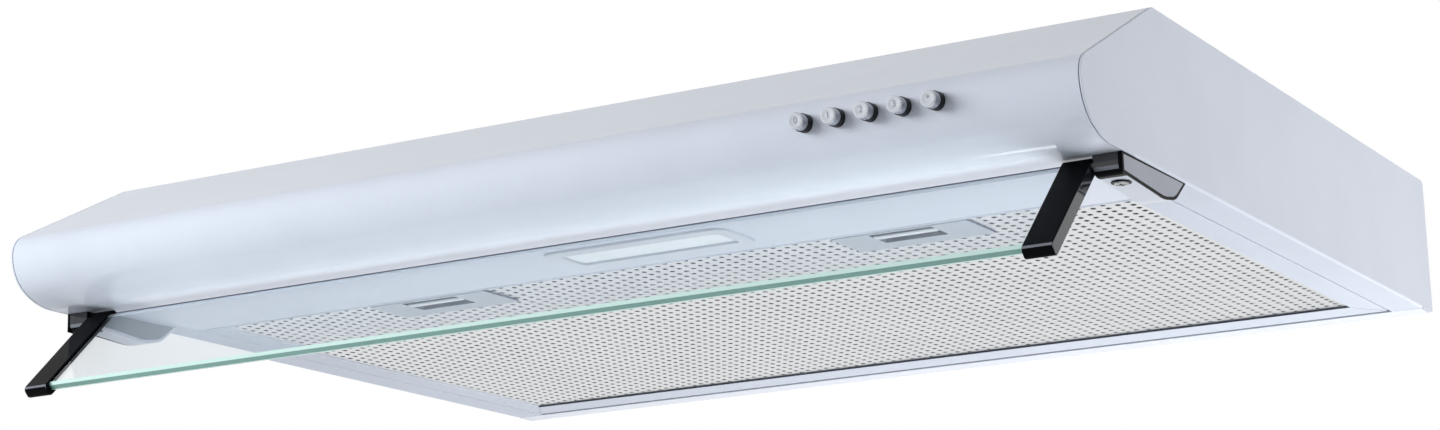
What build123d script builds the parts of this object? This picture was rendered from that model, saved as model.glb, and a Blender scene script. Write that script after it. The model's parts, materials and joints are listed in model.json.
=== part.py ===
from build123d import *

import math
import os

os.makedirs("parts", exist_ok=True)

# An under-cabinet cooker hood with a swing-out glass visor.
# Millimetres: X runs across the hood, Y from front to rear, Z up.
# The origin is the centre of the four cabinet fixing holes, on the flat top.

# Body
hood_width = 600.0
hood_depth = 488.0
hood_height = 75.5
front_reach = 290.0
sheet = 1.0
panel_gap = 0.35
crease_radius = 5.0
rear_bend = 2.5

# Front profile, from the crease in the roof down round the nose
roof_setback = 86.0
nose_rise = 24.5
brow_radius = 12.0
chin_radius = 22.0
chin_sweep = 60.0
seam_setback = 56.0

# Underside
side_flange = 18.0
rear_flange = 17.0
top_flange = 16.0
strip_rear_setback = 131.0
strip_lip = 10.0
strip_wall = 12.0
strip_tab = 9.0

# Cabinet fixing and duct
fixing_margin_x = 50.0
fixing_spacing_y = 260.0
fixing_hole_radius = 2.75
spigot_radius = 59.5
spigot_wall = 2.0
spigot_height = 32.0
spigot_sink = 2.6
spigot_flange_radius = 70.0
spigot_flange = 2.0
spigot_hole_gap = 0.5
flap_level = 14.0
flap_thickness = 1.2
flap_edge_gap = 0.7
flap_axis_offset = 3.2
flap_barrel_radius = 2.0
flap_pin_radius = 1.2
flap_pin_reach = 1.5
flap_stop_width = 2.5
flap_stop_height = 1.7
running_gap = 0.05

# Fan
fan_x = -150.0
fan_setback = 168.0
wheel_radius = 72.0
wheel_blade_depth = 14.0
wheel_top_gap = 4.0
wheel_plate = 1.5
blade_height = 38.0
blade_count = 30
blade_thickness = 1.3
blade_bow = 3.5
wheel_ring_height = 2.0
wheel_ring_width = 6.0
hub_radius = 9.0
shaft_radius = 3.0
motor_radius = 38.0
motor_top_gap = 4.0
motor_rim_radius = 4.0
volute_reach = 118.0
volute_step = 11.0
tongue_angle = 40.0
scroll_wall = 2.0
scroll_depth = 52.0
outlet_half = 63.0
outlet_corner = 8.0
cover_thickness = 1.2
inlet_radius = 58.5
inlet_lip_wall = 6.2
inlet_lip_radius = 5.0
inlet_lip_height = 4.5
spider_hub_radius = 27.0
spider_hub_height = 3.5
spider_arm_width = 11.0
spider_arm_thickness = 1.5
spider_reach = 76.0
spider_arms = 3
boss_radius = 5.0
boss_bite = 1.5
screw_radius = 1.6
screw_hole_gap = 0.15
screw_head_radius = 3.6
screw_head_height = 1.8
scroll_screw_length = 14.0

# Electrical parts
capacitor_radius = 14.0
capacitor_length = 52.0
capacitor_x = 130.0
capacitor_y = -60.0
capacitor_saddle = 18.0
terminal_inset = 85.0
terminal_setback = 53.0
terminal_width = 70.0
terminal_depth = 50.0
terminal_height = 28.0
terminal_wall = 2.0
terminal_block_height = 12.0
gland_bore_radius = 3.6
gland_neck_radius = 6.5
gland_head_radius = 11.0
gland_head_height = 6.0
gland_neck_drop = 9.0
gland_hole_gap = 0.3

# Push buttons and the switch block behind them
button_end_margin = 100.0
button_pitch = 16.2
button_count = 5
button_rise = 22.9
button_radius = 3.9
button_reach = 9.0
button_tail = 5.0
button_hole_gap = 0.35
button_edge = 0.9
button_dish_radius = 14.0
button_dish = 0.35
button_travel = 3.5
stem_radius = 2.2
stem_length = 18.0
stem_gap = 0.3
switch_margin = 9.0
switch_front_setback = 17.0
switch_rear_setback = 48.0
switch_low = 13.0
switch_high = 34.0
switch_foot = 1.2
switch_end_room = 2.0

# Lamp in the front strip
lamp_x = 28.0
lamp_setback = 98.5
lamp_length = 104.0
lamp_width = 40.0
lamp_corner = 8.0
bezel_proud = 0.6
bezel_collar_inset = 4.0
bezel_height = 4.0
lens_length = 90.0
lens_width = 23.0
lens_corner = 2.5
lens_gap = 0.2
lens_thickness = 2.2
lens_ledge = 2.0
lens_inset = 0.3
lamp_house_length = 114.0
lamp_house_width = 46.0
lamp_house_height = 19.0
lamp_house_wall = 1.2
led_board_length = 92.0
led_board_width = 20.0
led_board_thickness = 1.6
led_size = 5.0
led_height = 1.2
led_count = 6

# Grease grille: frame, mesh, mat and the wires that hold the mat
grille_side_gap = 1.0
grille_front_gap = 0.8
grille_rear_gap = 4.0
grille_height = 7.0
border_side = 14.0
border_front = 2.2
border_rear = 23.0
mitre_width = 0.5
mitre_depth = 0.4
mesh_thickness = 0.8
mesh_overlap = 5.0
mesh_pitch_x = 48.0
mesh_pitch_y = 15.0
mesh_strand = 3.0
mat_gap = 0.3
mat_thickness = 3.6
mat_front_setback = 176.0
wire_radius = 0.8
wire_cross_count = 5
grille_pin_rise = 3.0
grille_pin_radius = 1.5
grille_pin_reach = 3.0
ear_thickness = 1.2
ear_front = 5.0
ear_rear = 4.0
ear_height = 6.0

# Grille latches
latch_centre_x = 6.0
latch_spacing = 278.0
latch_front_setback = 136.0
latch_length = 74.0
latch_width = 34.0
latch_corner = 2.0
latch_plate = 1.0
latch_edge = 0.8
latch_height = 8.0
latch_wall = 1.5
slot_length = 34.0
slot_front_setback = 138.0
slot_rear_setback = 158.0
rib_front_setback = 143.0
rib_thickness = 5.0
rib_foot = 0.4
rib_top_gap = 0.3
latch_side_gap = 0.4
tongue_width = 12.0
tongue_thickness = 2.0
tongue_rise = 3.0
tongue_stop = 0.35
mesh_cut_gap = 0.5

# Glass visor and its arms
pivot_setback = 46.3
pivot_drop = 4.0
pivot_radius = 1.6
visor_rest = 43.8
arm_side_gap = 0.6
arm_width = 14.4
arm_thickness = 6.8
arm_length = 67.2
arm_end_radius = 2.2
glass_thickness = 5.0
glass_top = 0.8
glass_bottom = 63.6
glass_engaged = 7.8
glass_play = 0.1
washer_radius = 2.7
washer_thickness = 0.4

# Hinge housings under the side flanges
housing_side_gap = 1.2
housing_width = 13.5
cap_front_setback = 42.6
cap_rear_setback = 50.0
cap_drop = 9.6
cap_front_radius = 3.0
housing_front_drop = 10.0
housing_deep_setback = 91.0
housing_deep_drop = 12.4
housing_heel_setback = 104.0
housing_heel_drop = 10.2
housing_rear_setback = 117.0
housing_wall = 1.5
hinge_screw_setback = 58.0
hinge_screw_radius = 2.0
hinge_screw_head = 4.8
hinge_screw_head_height = 1.6
hinge_screw_boss = 4.6

# Places worked out from the sizes above
front = -front_reach
rear = front + hood_depth
under = -hood_height
half_width = hood_width / 2
roof_inside = -sheet
floor_inside = under + sheet
canopy_half = half_width - sheet - panel_gap
flange_half = half_width - side_flange
seam = front + seam_setback
strip_rear = front + strip_rear_setback
flange_front = rear - rear_flange
fan_y = rear - fan_setback
terminal_x = half_width - terminal_inset
terminal_y = rear - terminal_setback
fixing_half_x = half_width - fixing_margin_x
chin_angle = math.radians(chin_sweep)
sole_radius = (nose_rise - chin_radius * math.sin(chin_angle)) / (1 - math.sin(chin_angle))
sole_setback = chin_radius + (sole_radius - chin_radius) * math.cos(chin_angle)
crease_run = roof_setback - brow_radius
crease_climb = hood_height - nose_rise
slope = (
    math.atan2(crease_climb, crease_run)
    + math.acos(brow_radius / math.hypot(crease_run, crease_climb))
    - math.pi / 2
)

volute_half_step = volute_step / 2
outlet_centre_y = fan_y + volute_reach - outlet_half
scroll_top = roof_inside
scroll_bottom = scroll_top - scroll_wall - scroll_depth
cover_bottom = scroll_bottom - cover_thickness
wheel_top = scroll_top - scroll_wall - wheel_top_gap
wheel_bottom = wheel_top - wheel_plate - blade_height - wheel_ring_height
motor_top = wheel_top - wheel_plate - motor_top_gap
motor_bottom = cover_bottom + spider_hub_height - spider_arm_thickness
spider_bottom = cover_bottom - spider_arm_thickness
terminal_bottom = roof_inside - terminal_height

button_centre_x = half_width - button_end_margin
button_tilt = math.asin((nose_rise - button_rise) / chin_radius)
button_y = front + chin_radius - chin_radius * math.cos(button_tilt)
button_z = under + nose_rise - chin_radius * math.sin(button_tilt)
switch_half = (button_count - 1) * button_pitch / 2 + switch_margin

lamp_y = front + lamp_setback
grille_half = flange_half - grille_side_gap
grille_front = strip_rear + grille_front_gap
grille_rear = flange_front - grille_rear_gap
mesh_half = grille_half - border_side
mesh_front = grille_front + border_front
mesh_rear = grille_rear - border_rear
mesh_low = under + sheet
mesh_high = mesh_low + mesh_thickness
mat_high = mesh_high + mat_gap + mat_thickness
grille_pin_z = under + grille_pin_rise
ear_half = flange_half
latch_places = (latch_centre_x - latch_spacing / 2, latch_centre_x + latch_spacing / 2)
latch_front = front + latch_front_setback
latch_rear = latch_front + latch_width
slot_front = front + slot_front_setback
slot_rear = front + slot_rear_setback
rib_front = front + rib_front_setback

pivot_y = front + pivot_setback
pivot_z = under - pivot_drop
housing_outer_x = half_width - housing_side_gap
housing_inner_x = housing_outer_x - housing_width
arm_outer_x = housing_inner_x - arm_side_gap
hinge_screw_x = (housing_inner_x + housing_outer_x) / 2

BASE = (Align.CENTER, Align.CENTER, Align.MIN)


def block(x, y, z):
    """Solid between the low and high pairs x, y and z."""
    sizes = [high - low for low, high in (x, y, z)]
    middle = [(low + high) / 2 for low, high in (x, y, z)]
    return Pos(*middle) * Box(*sizes)


def rod(place, radius, low, high):
    """Round bar on a plane's axis, between two distances along its normal."""
    return place * (Pos(0, 0, low) * Cylinder(radius, high - low, align=BASE))


def upright(x, y, radius, low, high):
    """Round bar parallel to Z, between the heights low and high."""
    return rod(Plane((x, y, 0)), radius, low, high)


def along_x(y, z, radius, low, high):
    """Round bar parallel to X, between X = low and X = high."""
    return rod(Plane((0, y, z), x_dir=(0, 1, 0), z_dir=(1, 0, 0)), radius, low, high)


def across(profile, low, high):
    """Extrude a profile drawn in Y and Z from X = low to X = high."""
    return Pos(low, 0, 0) * extrude(Plane.YZ * profile, amount=high - low)


def rectangle(x, y):
    """Flat rectangle between the low and high pairs x and y."""
    return Pos(sum(x) / 2, sum(y) / 2) * Rectangle(x[1] - x[0], y[1] - y[0])


def rounded(face, corners, radius):
    """Round the corners of a flat face that lie nearest the given points."""
    picked = [face.vertices().sort_by_distance(corner)[0] for corner in corners]
    return fillet(picked, radius)


def plate(length, width, corner, low, high, x=0.0, y=0.0):
    """Flat plate with round corners, between the heights low and high."""
    outline = RectangleRounded(length, width, corner)
    return Pos(x, y, low) * extrude(outline, amount=high - low)


def both_sides(solid):
    """A solid on the right-hand side, with its mirror image on the left."""
    return {"left": mirror(solid, about=Plane.YZ), "right": solid}


# Sheet-metal body


def side_outline(inset):
    """Closed side profile of the hood in Y and Z, drawn inset from the skin."""
    nose_z = under + nose_rise
    brow = brow_radius - inset
    slope_foot = (front + brow_radius - brow * math.sin(slope), nose_z + brow * math.cos(slope))
    crease = (front + roof_setback + inset * math.tan(slope / 2), -inset)
    rear_top = (rear - inset, -inset)
    rear_low = (rear - inset, under + inset)
    sole = (front + sole_setback, under + sole_radius)
    sole_end = (sole[0], under + inset)
    edges = [
        CenterArc((front + brow_radius, nose_z), brow, 90 + math.degrees(slope), 90 - math.degrees(slope)),
        Line(slope_foot, crease),
        Line(crease, rear_top),
        Line(rear_top, rear_low),
        Line(rear_low, sole_end),
        CenterArc(sole, sole_radius - inset, 180 + chin_sweep, 90 - chin_sweep),
        CenterArc((front + chin_radius, nose_z), chin_radius - inset, 180, chin_sweep),
    ]
    face = make_face(edges)
    face = rounded(face, [crease], crease_radius - inset)
    return rounded(face, [rear_top, rear_low], rear_bend - inset)


def button_plane(index):
    """Plane on the nose under one button, facing straight out of the skin."""
    x = button_centre_x + (index - (button_count - 1) / 2) * button_pitch
    outward = (0, -math.cos(button_tilt), -math.sin(button_tilt))
    return Plane((x, button_y, button_z), x_dir=(1, 0, 0), z_dir=outward)


def fixing_places():
    """Centres of the four holes that hang the hood from a cabinet."""
    return [
        (x * fixing_half_x, y * fixing_spacing_y / 2)
        for x in (-1, 1)
        for y in (-1, 1)
    ]


def canopy_shell():
    """One bent sheet: rear flange, rear wall, roof, slope and rolled nose."""
    mouth_y = (seam + flange_front) / 2
    mouth = Pos(mouth_y, under) * Rectangle(flange_front - seam, 3 * sheet)
    shell = across(side_outline(0) - side_outline(sheet) - mouth, -canopy_half, canopy_half)
    for x, y in fixing_places():
        shell -= upright(x, y, fixing_hole_radius, -2 * sheet, sheet)
    shell -= upright(0, outlet_centre_y, spigot_radius + spigot_hole_gap, -2 * sheet, sheet)
    shell -= upright(terminal_x, terminal_y, gland_neck_radius + gland_hole_gap, -2 * sheet, sheet)
    for index in range(button_count):
        shell -= rod(button_plane(index), button_radius + button_hole_gap, -button_tail, button_reach)
    return shell


def side_panel():
    """Right end panel: flat cheek with flanges turned in at floor, roof and rear."""
    cheek = across(side_outline(0), half_width - sheet, half_width)
    floor_y = (seam + panel_gap, flange_front - panel_gap)
    panel = cheek + block((flange_half, half_width), floor_y, (under, floor_inside))
    roof_y = (front + roof_setback + crease_radius, rear - rear_bend - sheet)
    roof_x = (half_width - top_flange, half_width)
    panel += block(roof_x, roof_y, (roof_inside - sheet, roof_inside)) - block(
        (canopy_half + panel_gap, half_width), roof_y, (roof_inside - sheet, 0)
    )
    rear_y = (rear - 2 * sheet, rear - sheet)
    panel += block(roof_x, rear_y, (floor_inside + rear_bend, roof_inside - rear_bend))
    ear_y = (grille_rear - ear_front, grille_rear + ear_rear)
    ear = block((ear_half, ear_half + ear_thickness), ear_y, (floor_inside, under + ear_height))
    panel += ear
    bore = grille_pin_radius + running_gap
    panel -= along_x(grille_rear, grille_pin_z, bore, ear_half - sheet, ear_half + 2 * ear_thickness)
    return panel


def lamp_panel():
    """Front strip of the underside, joggled over the front sheet's lower edge."""
    half = flange_half - panel_gap
    front_edge = seam + panel_gap
    strip = block((-half, half), (front_edge, strip_rear), (under, floor_inside))
    lip_y = (seam - strip_lip, front_edge + sheet)
    lip_z = (floor_inside, floor_inside + sheet)
    strip += block((-half, half), lip_y, lip_z)
    strip += block((-half, half), (strip_rear - sheet, strip_rear), (under, under + strip_wall))
    tab_y = (lamp_y - lamp_width / 2, lamp_y + lamp_width / 2)
    strip += block((-half - strip_tab, half + strip_tab), tab_y, lip_z)
    clear_y = (front_edge + 2 * sheet, strip_rear - 2 * sheet)
    strip -= block((-half + strip_tab, half - strip_tab), clear_y, lip_z)
    trim = 2 * (bezel_collar_inset - lens_gap)
    window = (lamp_length - trim, lamp_width - trim, lens_corner)
    strip -= plate(*window, under - sheet, under + 2 * sheet, lamp_x, lamp_y)
    keeper_z = (under + tongue_rise - sheet, under + tongue_rise + tongue_thickness + sheet)
    for x in latch_places:
        keeper_x = (x - tongue_width / 2 - sheet, x + tongue_width / 2 + sheet)
        strip -= block(keeper_x, (strip_rear - 2 * sheet, strip_rear + sheet), keeper_z)
    return strip


# Duct spigot and its damper flaps


def duct_spigot():
    """Plastic ring that carries the duct, with a ledge that stops the flaps."""
    inner = spigot_radius - spigot_wall
    spigot = upright(0, outlet_centre_y, spigot_radius, -spigot_sink, spigot_height)
    spigot += upright(0, outlet_centre_y, spigot_flange_radius, 0, spigot_flange)
    spigot -= upright(0, outlet_centre_y, inner, -2 * spigot_sink, 2 * spigot_height)
    ledge_low = flap_level - flap_stop_height
    ledge = upright(0, outlet_centre_y, inner + spigot_wall / 2, ledge_low, flap_level - flap_edge_gap / 2)
    ledge -= upright(0, outlet_centre_y, inner - flap_stop_width, 0, spigot_height)
    spigot += ledge
    for x in (-flap_axis_offset, flap_axis_offset):
        place = Plane((x, outlet_centre_y, flap_axis_z()), x_dir=(1, 0, 0), z_dir=(0, 1, 0))
        spigot -= rod(place, flap_pin_radius + running_gap, -2 * spigot_radius, 2 * spigot_radius)
    return spigot


def flap_axis_z():
    """Height of the flaps' pins, at the middle of their thickness."""
    return flap_level + flap_thickness / 2


def flap():
    """Right-hand half disc that falls shut on the spigot's ledge."""
    reach = spigot_radius - spigot_wall - flap_edge_gap
    disc = upright(0, outlet_centre_y, reach, flap_level, flap_level + flap_thickness)
    keep = block(
        (flap_axis_offset, spigot_radius), (outlet_centre_y - spigot_radius, outlet_centre_y + spigot_radius),
        (flap_level, flap_level + flap_thickness),
    )
    half = disc & keep
    barrel_reach = reach - flap_stop_width
    place = Plane((flap_axis_offset, outlet_centre_y, flap_axis_z()), x_dir=(1, 0, 0), z_dir=(0, 1, 0))
    half += rod(place, flap_barrel_radius, -barrel_reach, barrel_reach)
    pin_end = spigot_radius - spigot_wall + flap_pin_reach
    return half + rod(place, flap_pin_radius, -pin_end, pin_end)


# Fan: volute, motor and wheel


def volute(grow):
    """Plan of the four-centre volute and its square outlet, grown by a wall."""
    step = volute_half_step
    reach = volute_reach - step
    last = reach - 3 * volute_step + grow
    turns = [
        CenterArc((fan_x + step, fan_y + step), reach + grow, 90, 90),
        CenterArc((fan_x - step, fan_y + step), reach - volute_step + grow, 180, 90),
        CenterArc((fan_x - step, fan_y - step), reach - 2 * volute_step + grow, 270, 90),
        CenterArc((fan_x + step, fan_y - step), last, 0, tongue_angle),
    ]
    angle = math.radians(tongue_angle)
    tongue = (fan_x + step + last * math.cos(angle), fan_y - step + last * math.sin(angle))
    top = (fan_x + step, fan_y + volute_reach + grow)
    snail = make_face(turns + [Line(tongue, top)])
    channel = rectangle((top[0], outlet_half), (tongue_y() - grow, top[1]))
    side = 2 * (outlet_half + grow)
    outlet = Pos(0, outlet_centre_y) * RectangleRounded(side, side, outlet_corner + grow)
    return snail + channel + outlet


def tongue_y():
    """Depth of the tongue, where the volute starts, in Y."""
    last = volute_reach - volute_half_step - 3 * volute_step
    return fan_y - volute_half_step + last * math.sin(math.radians(tongue_angle))


def boss_places():
    """Centres of the three screw bosses outside the volute's wall."""
    out = scroll_wall + boss_radius - boss_bite
    step = volute_half_step
    left = fan_x - volute_reach + volute_step
    low = fan_y - volute_reach + 2 * volute_step
    return [
        (outlet_half + out, outlet_centre_y),
        (left - out, fan_y + step),
        (fan_x - step, low - out),
    ]


def scroll_outline():
    """Outer outline of the volute with its bosses."""
    outline = volute(scroll_wall) + rectangle((fan_x, -outlet_half), (fan_y, tongue_y()))
    for x, y in boss_places():
        outline += Pos(x, y) * Circle(boss_radius)
    return outline


def scroll_housing():
    """Fan casing: roof plate and volute wall in one, screwed up under the roof."""
    depth = scroll_top - scroll_bottom
    body = Pos(0, 0, scroll_bottom) * extrude(scroll_outline(), amount=depth)
    body -= Pos(0, 0, scroll_bottom) * extrude(volute(0), amount=depth - scroll_wall)
    body -= upright(0, outlet_centre_y, spigot_radius + spigot_hole_gap, scroll_bottom, sheet)
    for x, y in boss_places():
        hole = screw_radius + screw_hole_gap
        body -= upright(x, y, hole, scroll_bottom - sheet, scroll_bottom + scroll_screw_length + sheet)
    return body


def scroll_cover():
    """Floor of the fan casing with its round inlet and rounded lip."""
    cover = Pos(0, 0, cover_bottom) * extrude(scroll_outline(), amount=cover_thickness)
    lip_top = scroll_bottom + inlet_lip_height
    cover += upright(fan_x, fan_y, inlet_radius + inlet_lip_wall, cover_bottom, lip_top)
    cover -= upright(fan_x, fan_y, inlet_radius, cover_bottom - sheet, lip_top + sheet)
    mouth = cover.edges().filter_by(GeomType.CIRCLE).group_by(Axis.Z)[0]
    cover = fillet(mouth.sort_by_distance((fan_x, fan_y, cover_bottom))[0], inlet_lip_radius)
    for x, y in boss_places():
        cover -= upright(x, y, screw_radius + screw_hole_gap, cover_bottom - sheet, scroll_bottom + sheet)
    return cover


def scroll_screws():
    """Three pan-head screws that hold the cover to the casing."""
    screws = []
    for x, y in boss_places():
        shank = upright(x, y, screw_radius, cover_bottom, cover_bottom + scroll_screw_length)
        head = upright(x, y, screw_head_radius, cover_bottom - screw_head_height, cover_bottom)
        screws.append(shank + head)
    return Compound(children=screws)


def motor_can():
    """Closed motor can with a bearing nose and a bore for the shaft."""
    can = upright(fan_x, fan_y, motor_radius, motor_bottom, motor_top)
    can = fillet(can.edges().filter_by(GeomType.CIRCLE), motor_rim_radius)
    can += upright(fan_x, fan_y, hub_radius, motor_top, motor_top + motor_top_gap / 4)
    bore = shaft_radius + running_gap
    return can - upright(fan_x, fan_y, bore, motor_bottom - sheet, motor_top + motor_top_gap)


def motor_bracket():
    """Three-armed spider under the inlet that carries the motor."""
    hub = upright(fan_x, fan_y, spider_hub_radius, spider_bottom, motor_bottom)
    bracket = hub
    for index in range(spider_arms):
        arm = block(
            (spider_hub_radius / 2, spider_reach),
            (-spider_arm_width / 2, spider_arm_width / 2),
            (spider_bottom, cover_bottom),
        )
        turned = Rot(0, 0, 90 + index * 360 / spider_arms) * arm
        bracket += Pos(fan_x, fan_y, 0) * turned
    return bracket - upright(fan_x, fan_y, 2 * shaft_radius, spider_bottom - sheet, motor_bottom + sheet)


def blade_profile():
    """One forward-curved blade in plan, a thick arc from its heel to the rim."""
    heel = wheel_radius - wheel_blade_depth
    tip = wheel_radius - blade_thickness / 4
    middle = (heel + tip) / 2
    thick = blade_thickness
    inner = ThreePointArc((heel, 0), (middle, -blade_bow), (tip, 0))
    outer = ThreePointArc((heel, thick), (middle, thick - blade_bow), (tip, thick))
    ends = [Line((heel, 0), (heel, thick)), Line((tip, 0), (tip, thick))]
    return make_face([inner, outer] + ends)


def impeller():
    """Squirrel-cage wheel: back plate with hub, curved blades and a lower ring."""
    blade_low = wheel_bottom + wheel_ring_height
    blade = Pos(0, 0, blade_low) * extrude(blade_profile(), amount=blade_height)
    ring = upright(0, 0, wheel_radius, wheel_bottom, blade_low)
    ring -= upright(0, 0, wheel_radius - wheel_ring_width, wheel_bottom - sheet, blade_low + sheet)
    disc = upright(0, 0, wheel_radius, wheel_top - wheel_plate, wheel_top)
    hub_low = wheel_top - wheel_plate - motor_top_gap / 2
    hub = upright(0, 0, hub_radius, hub_low, wheel_top + wheel_top_gap / 2)
    blades = [Rot(0, 0, index * 360 / blade_count) * blade for index in range(blade_count)]
    wheel = disc + hub
    wheel = wheel.fuse(ring, *blades)
    wheel -= upright(0, 0, shaft_radius + running_gap / 2, wheel_bottom, wheel_top + wheel_top_gap)
    return Pos(fan_x, fan_y, 0) * wheel


def rotor_shaft():
    """Motor shaft from below the spider to the top of the wheel's hub."""
    shaft = upright(fan_x, fan_y, shaft_radius, spider_bottom - shaft_radius, wheel_top + wheel_top_gap / 2)
    return chamfer(shaft.edges().filter_by(GeomType.CIRCLE), shaft_radius / 6)


# Electrical parts


def capacitor():
    """Run capacitor with a moulded saddle that fixes it to the roof."""
    z = roof_inside - capacitor_radius - sheet
    end = capacitor_x + capacitor_length
    can = along_x(capacitor_y, z, capacitor_radius, capacitor_x, end)
    can = fillet(can.edges().filter_by(GeomType.CIRCLE), sheet)
    saddle = block(
        (capacitor_x + capacitor_saddle, end - capacitor_saddle),
        (capacitor_y - capacitor_radius, capacitor_y + capacitor_radius),
        (z, roof_inside),
    )
    return can + saddle


def terminal_box():
    """Open-bottomed box under the roof where the supply is wired in."""
    x = (terminal_x - terminal_width / 2, terminal_x + terminal_width / 2)
    y = (terminal_y - terminal_depth / 2, terminal_y + terminal_depth / 2)
    box = block(x, y, (terminal_bottom, roof_inside))
    wall = terminal_wall
    inner_x = (x[0] + wall, x[1] - wall)
    inner_y = (y[0] + wall, y[1] - wall)
    box -= block(inner_x, inner_y, (terminal_bottom - wall, roof_inside - wall))
    strip = block(
        (x[0] + 2 * wall, x[1] - 2 * wall),
        (inner_y[0], inner_y[0] + terminal_block_height),
        (roof_inside - wall - terminal_block_height, roof_inside - wall),
    )
    box += strip
    return box - upright(
        terminal_x, terminal_y, gland_neck_radius + gland_hole_gap, roof_inside - 2 * wall, sheet
    )


def terminal_lid():
    """Lid of the terminal box with a rim that locates inside its walls."""
    x = (terminal_x - terminal_width / 2, terminal_x + terminal_width / 2)
    y = (terminal_y - terminal_depth / 2, terminal_y + terminal_depth / 2)
    lid = block(x, y, (terminal_bottom - terminal_wall, terminal_bottom))
    inset = terminal_wall + panel_gap
    rim_x = (x[0] + inset, x[1] - inset)
    rim_y = (y[0] + inset, y[1] - inset)
    rim = block(rim_x, rim_y, (terminal_bottom, terminal_bottom + terminal_wall))
    rim -= block(
        (rim_x[0] + terminal_wall, rim_x[1] - terminal_wall),
        (rim_y[0] + terminal_wall, rim_y[1] - terminal_wall),
        (terminal_bottom, terminal_bottom + 2 * terminal_wall),
    )
    return lid + rim


def cable_gland():
    """Inlet gland in the roof with a hexagonal head and a plain bore."""
    hexagon = RegularPolygon(gland_head_radius, 6)
    head = Pos(terminal_x, terminal_y, 0) * extrude(hexagon, amount=gland_head_height)
    gland = head + upright(terminal_x, terminal_y, gland_neck_radius, -gland_neck_drop, gland_head_height)
    bore = upright(terminal_x, terminal_y, gland_bore_radius, -2 * gland_neck_drop, 2 * gland_head_height)
    return gland - bore


# Buttons and switches


def push_button(index):
    """One round button with a dished face and a stem into its switch."""
    place = button_plane(index)
    cap = Pos(0, 0, -button_tail) * Cylinder(button_radius, button_reach + button_tail, align=BASE)
    cap = fillet(cap.edges().sort_by(Axis.Z)[-1], button_edge)
    cap -= Pos(0, 0, button_reach - button_dish + button_dish_radius) * Sphere(button_dish_radius)
    stem = Pos(0, 0, -stem_length) * Cylinder(stem_radius, stem_length, align=BASE)
    return place * (cap + stem)


def switch_module():
    """Switch block behind the nose, standing by its foot on the strip's lip."""
    x = (button_centre_x - switch_half, button_centre_x + switch_half)
    y = (front + switch_front_setback, front + switch_rear_setback)
    module = block(x, y, (under + switch_low, under + switch_high))
    lip_top = floor_inside + sheet
    foot_x = (x[0] + switch_margin, x[1] - switch_margin)
    riser_y = (y[1] - 2 * switch_foot, y[1])
    module += block(foot_x, riser_y, (lip_top, under + switch_low))
    module += block(foot_x, (y[1] - 2 * switch_foot, seam), (lip_top, lip_top + switch_foot))
    depth = stem_length + button_travel + switch_end_room
    for index in range(button_count):
        module -= rod(button_plane(index), stem_radius + stem_gap, -depth, 0)
    return module


# Lamp


def lamp_bezel():
    """Frame of the lamp window, flanged outside and stepped for the lens."""
    bezel = plate(lamp_length, lamp_width, lamp_corner, under - bezel_proud, under, lamp_x, lamp_y)
    collar_length = lamp_length - 2 * bezel_collar_inset
    collar_width = lamp_width - 2 * bezel_collar_inset
    top = under + bezel_height
    bezel += plate(collar_length, collar_width, lens_corner, under, top, lamp_x, lamp_y)
    lens_top = under - lens_inset + lens_thickness
    bezel -= plate(
        lens_length, lens_width, lens_corner, under - 2 * bezel_proud, lens_top, lamp_x, lamp_y
    )
    window_length = lens_length - 2 * lens_ledge
    window_width = lens_width - 2 * lens_ledge
    bezel -= plate(window_length, window_width, lens_corner, under, 2 * bezel_height + under, lamp_x, lamp_y)
    return bezel


def lamp_lens():
    """Frosted window that snaps up into the bezel."""
    low = under - lens_inset
    length = lens_length - 2 * lens_gap
    width = lens_width - 2 * lens_gap
    return plate(length, width, lens_corner - lens_gap, low, low + lens_thickness, lamp_x, lamp_y)


def lamp_housing():
    """Pressed cover over the lamp, standing on the strip."""
    low = floor_inside
    top = low + lamp_house_height
    wall = lamp_house_wall
    cover = plate(lamp_house_length, lamp_house_width, lamp_corner, low, top, lamp_x, lamp_y)
    inner = (lamp_house_length - 2 * wall, lamp_house_width - 2 * wall, lamp_corner - wall)
    return cover - plate(*inner, low - wall, top - wall, lamp_x, lamp_y)


def led_board():
    """Circuit board under the lamp cover with a row of light sources."""
    top = floor_inside + lamp_house_height - lamp_house_wall
    low = top - led_board_thickness
    board = plate(led_board_length, led_board_width, sheet, low, top, lamp_x, lamp_y)
    pitch = led_board_length / led_count
    for index in range(led_count):
        x = lamp_x + (index - (led_count - 1) / 2) * pitch
        board += plate(led_size, led_size, led_size / 5, low - led_height, low, x, lamp_y)
    return board


# Grease grille and its latches


def mitre_groove(side):
    """Thin diagonal cut right across one rear corner of the grille's border."""
    run = grille_half - mesh_half
    middle = (side * (grille_half + mesh_half) / 2, (mesh_rear + grille_rear) / 2, under)
    turn = side * math.degrees(math.atan2(border_rear, run))
    length = math.hypot(run, border_rear) + 4 * mitre_width
    return Pos(*middle) * Rot(0, 0, turn) * Box(length, mitre_width, 2 * mitre_depth)


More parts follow.
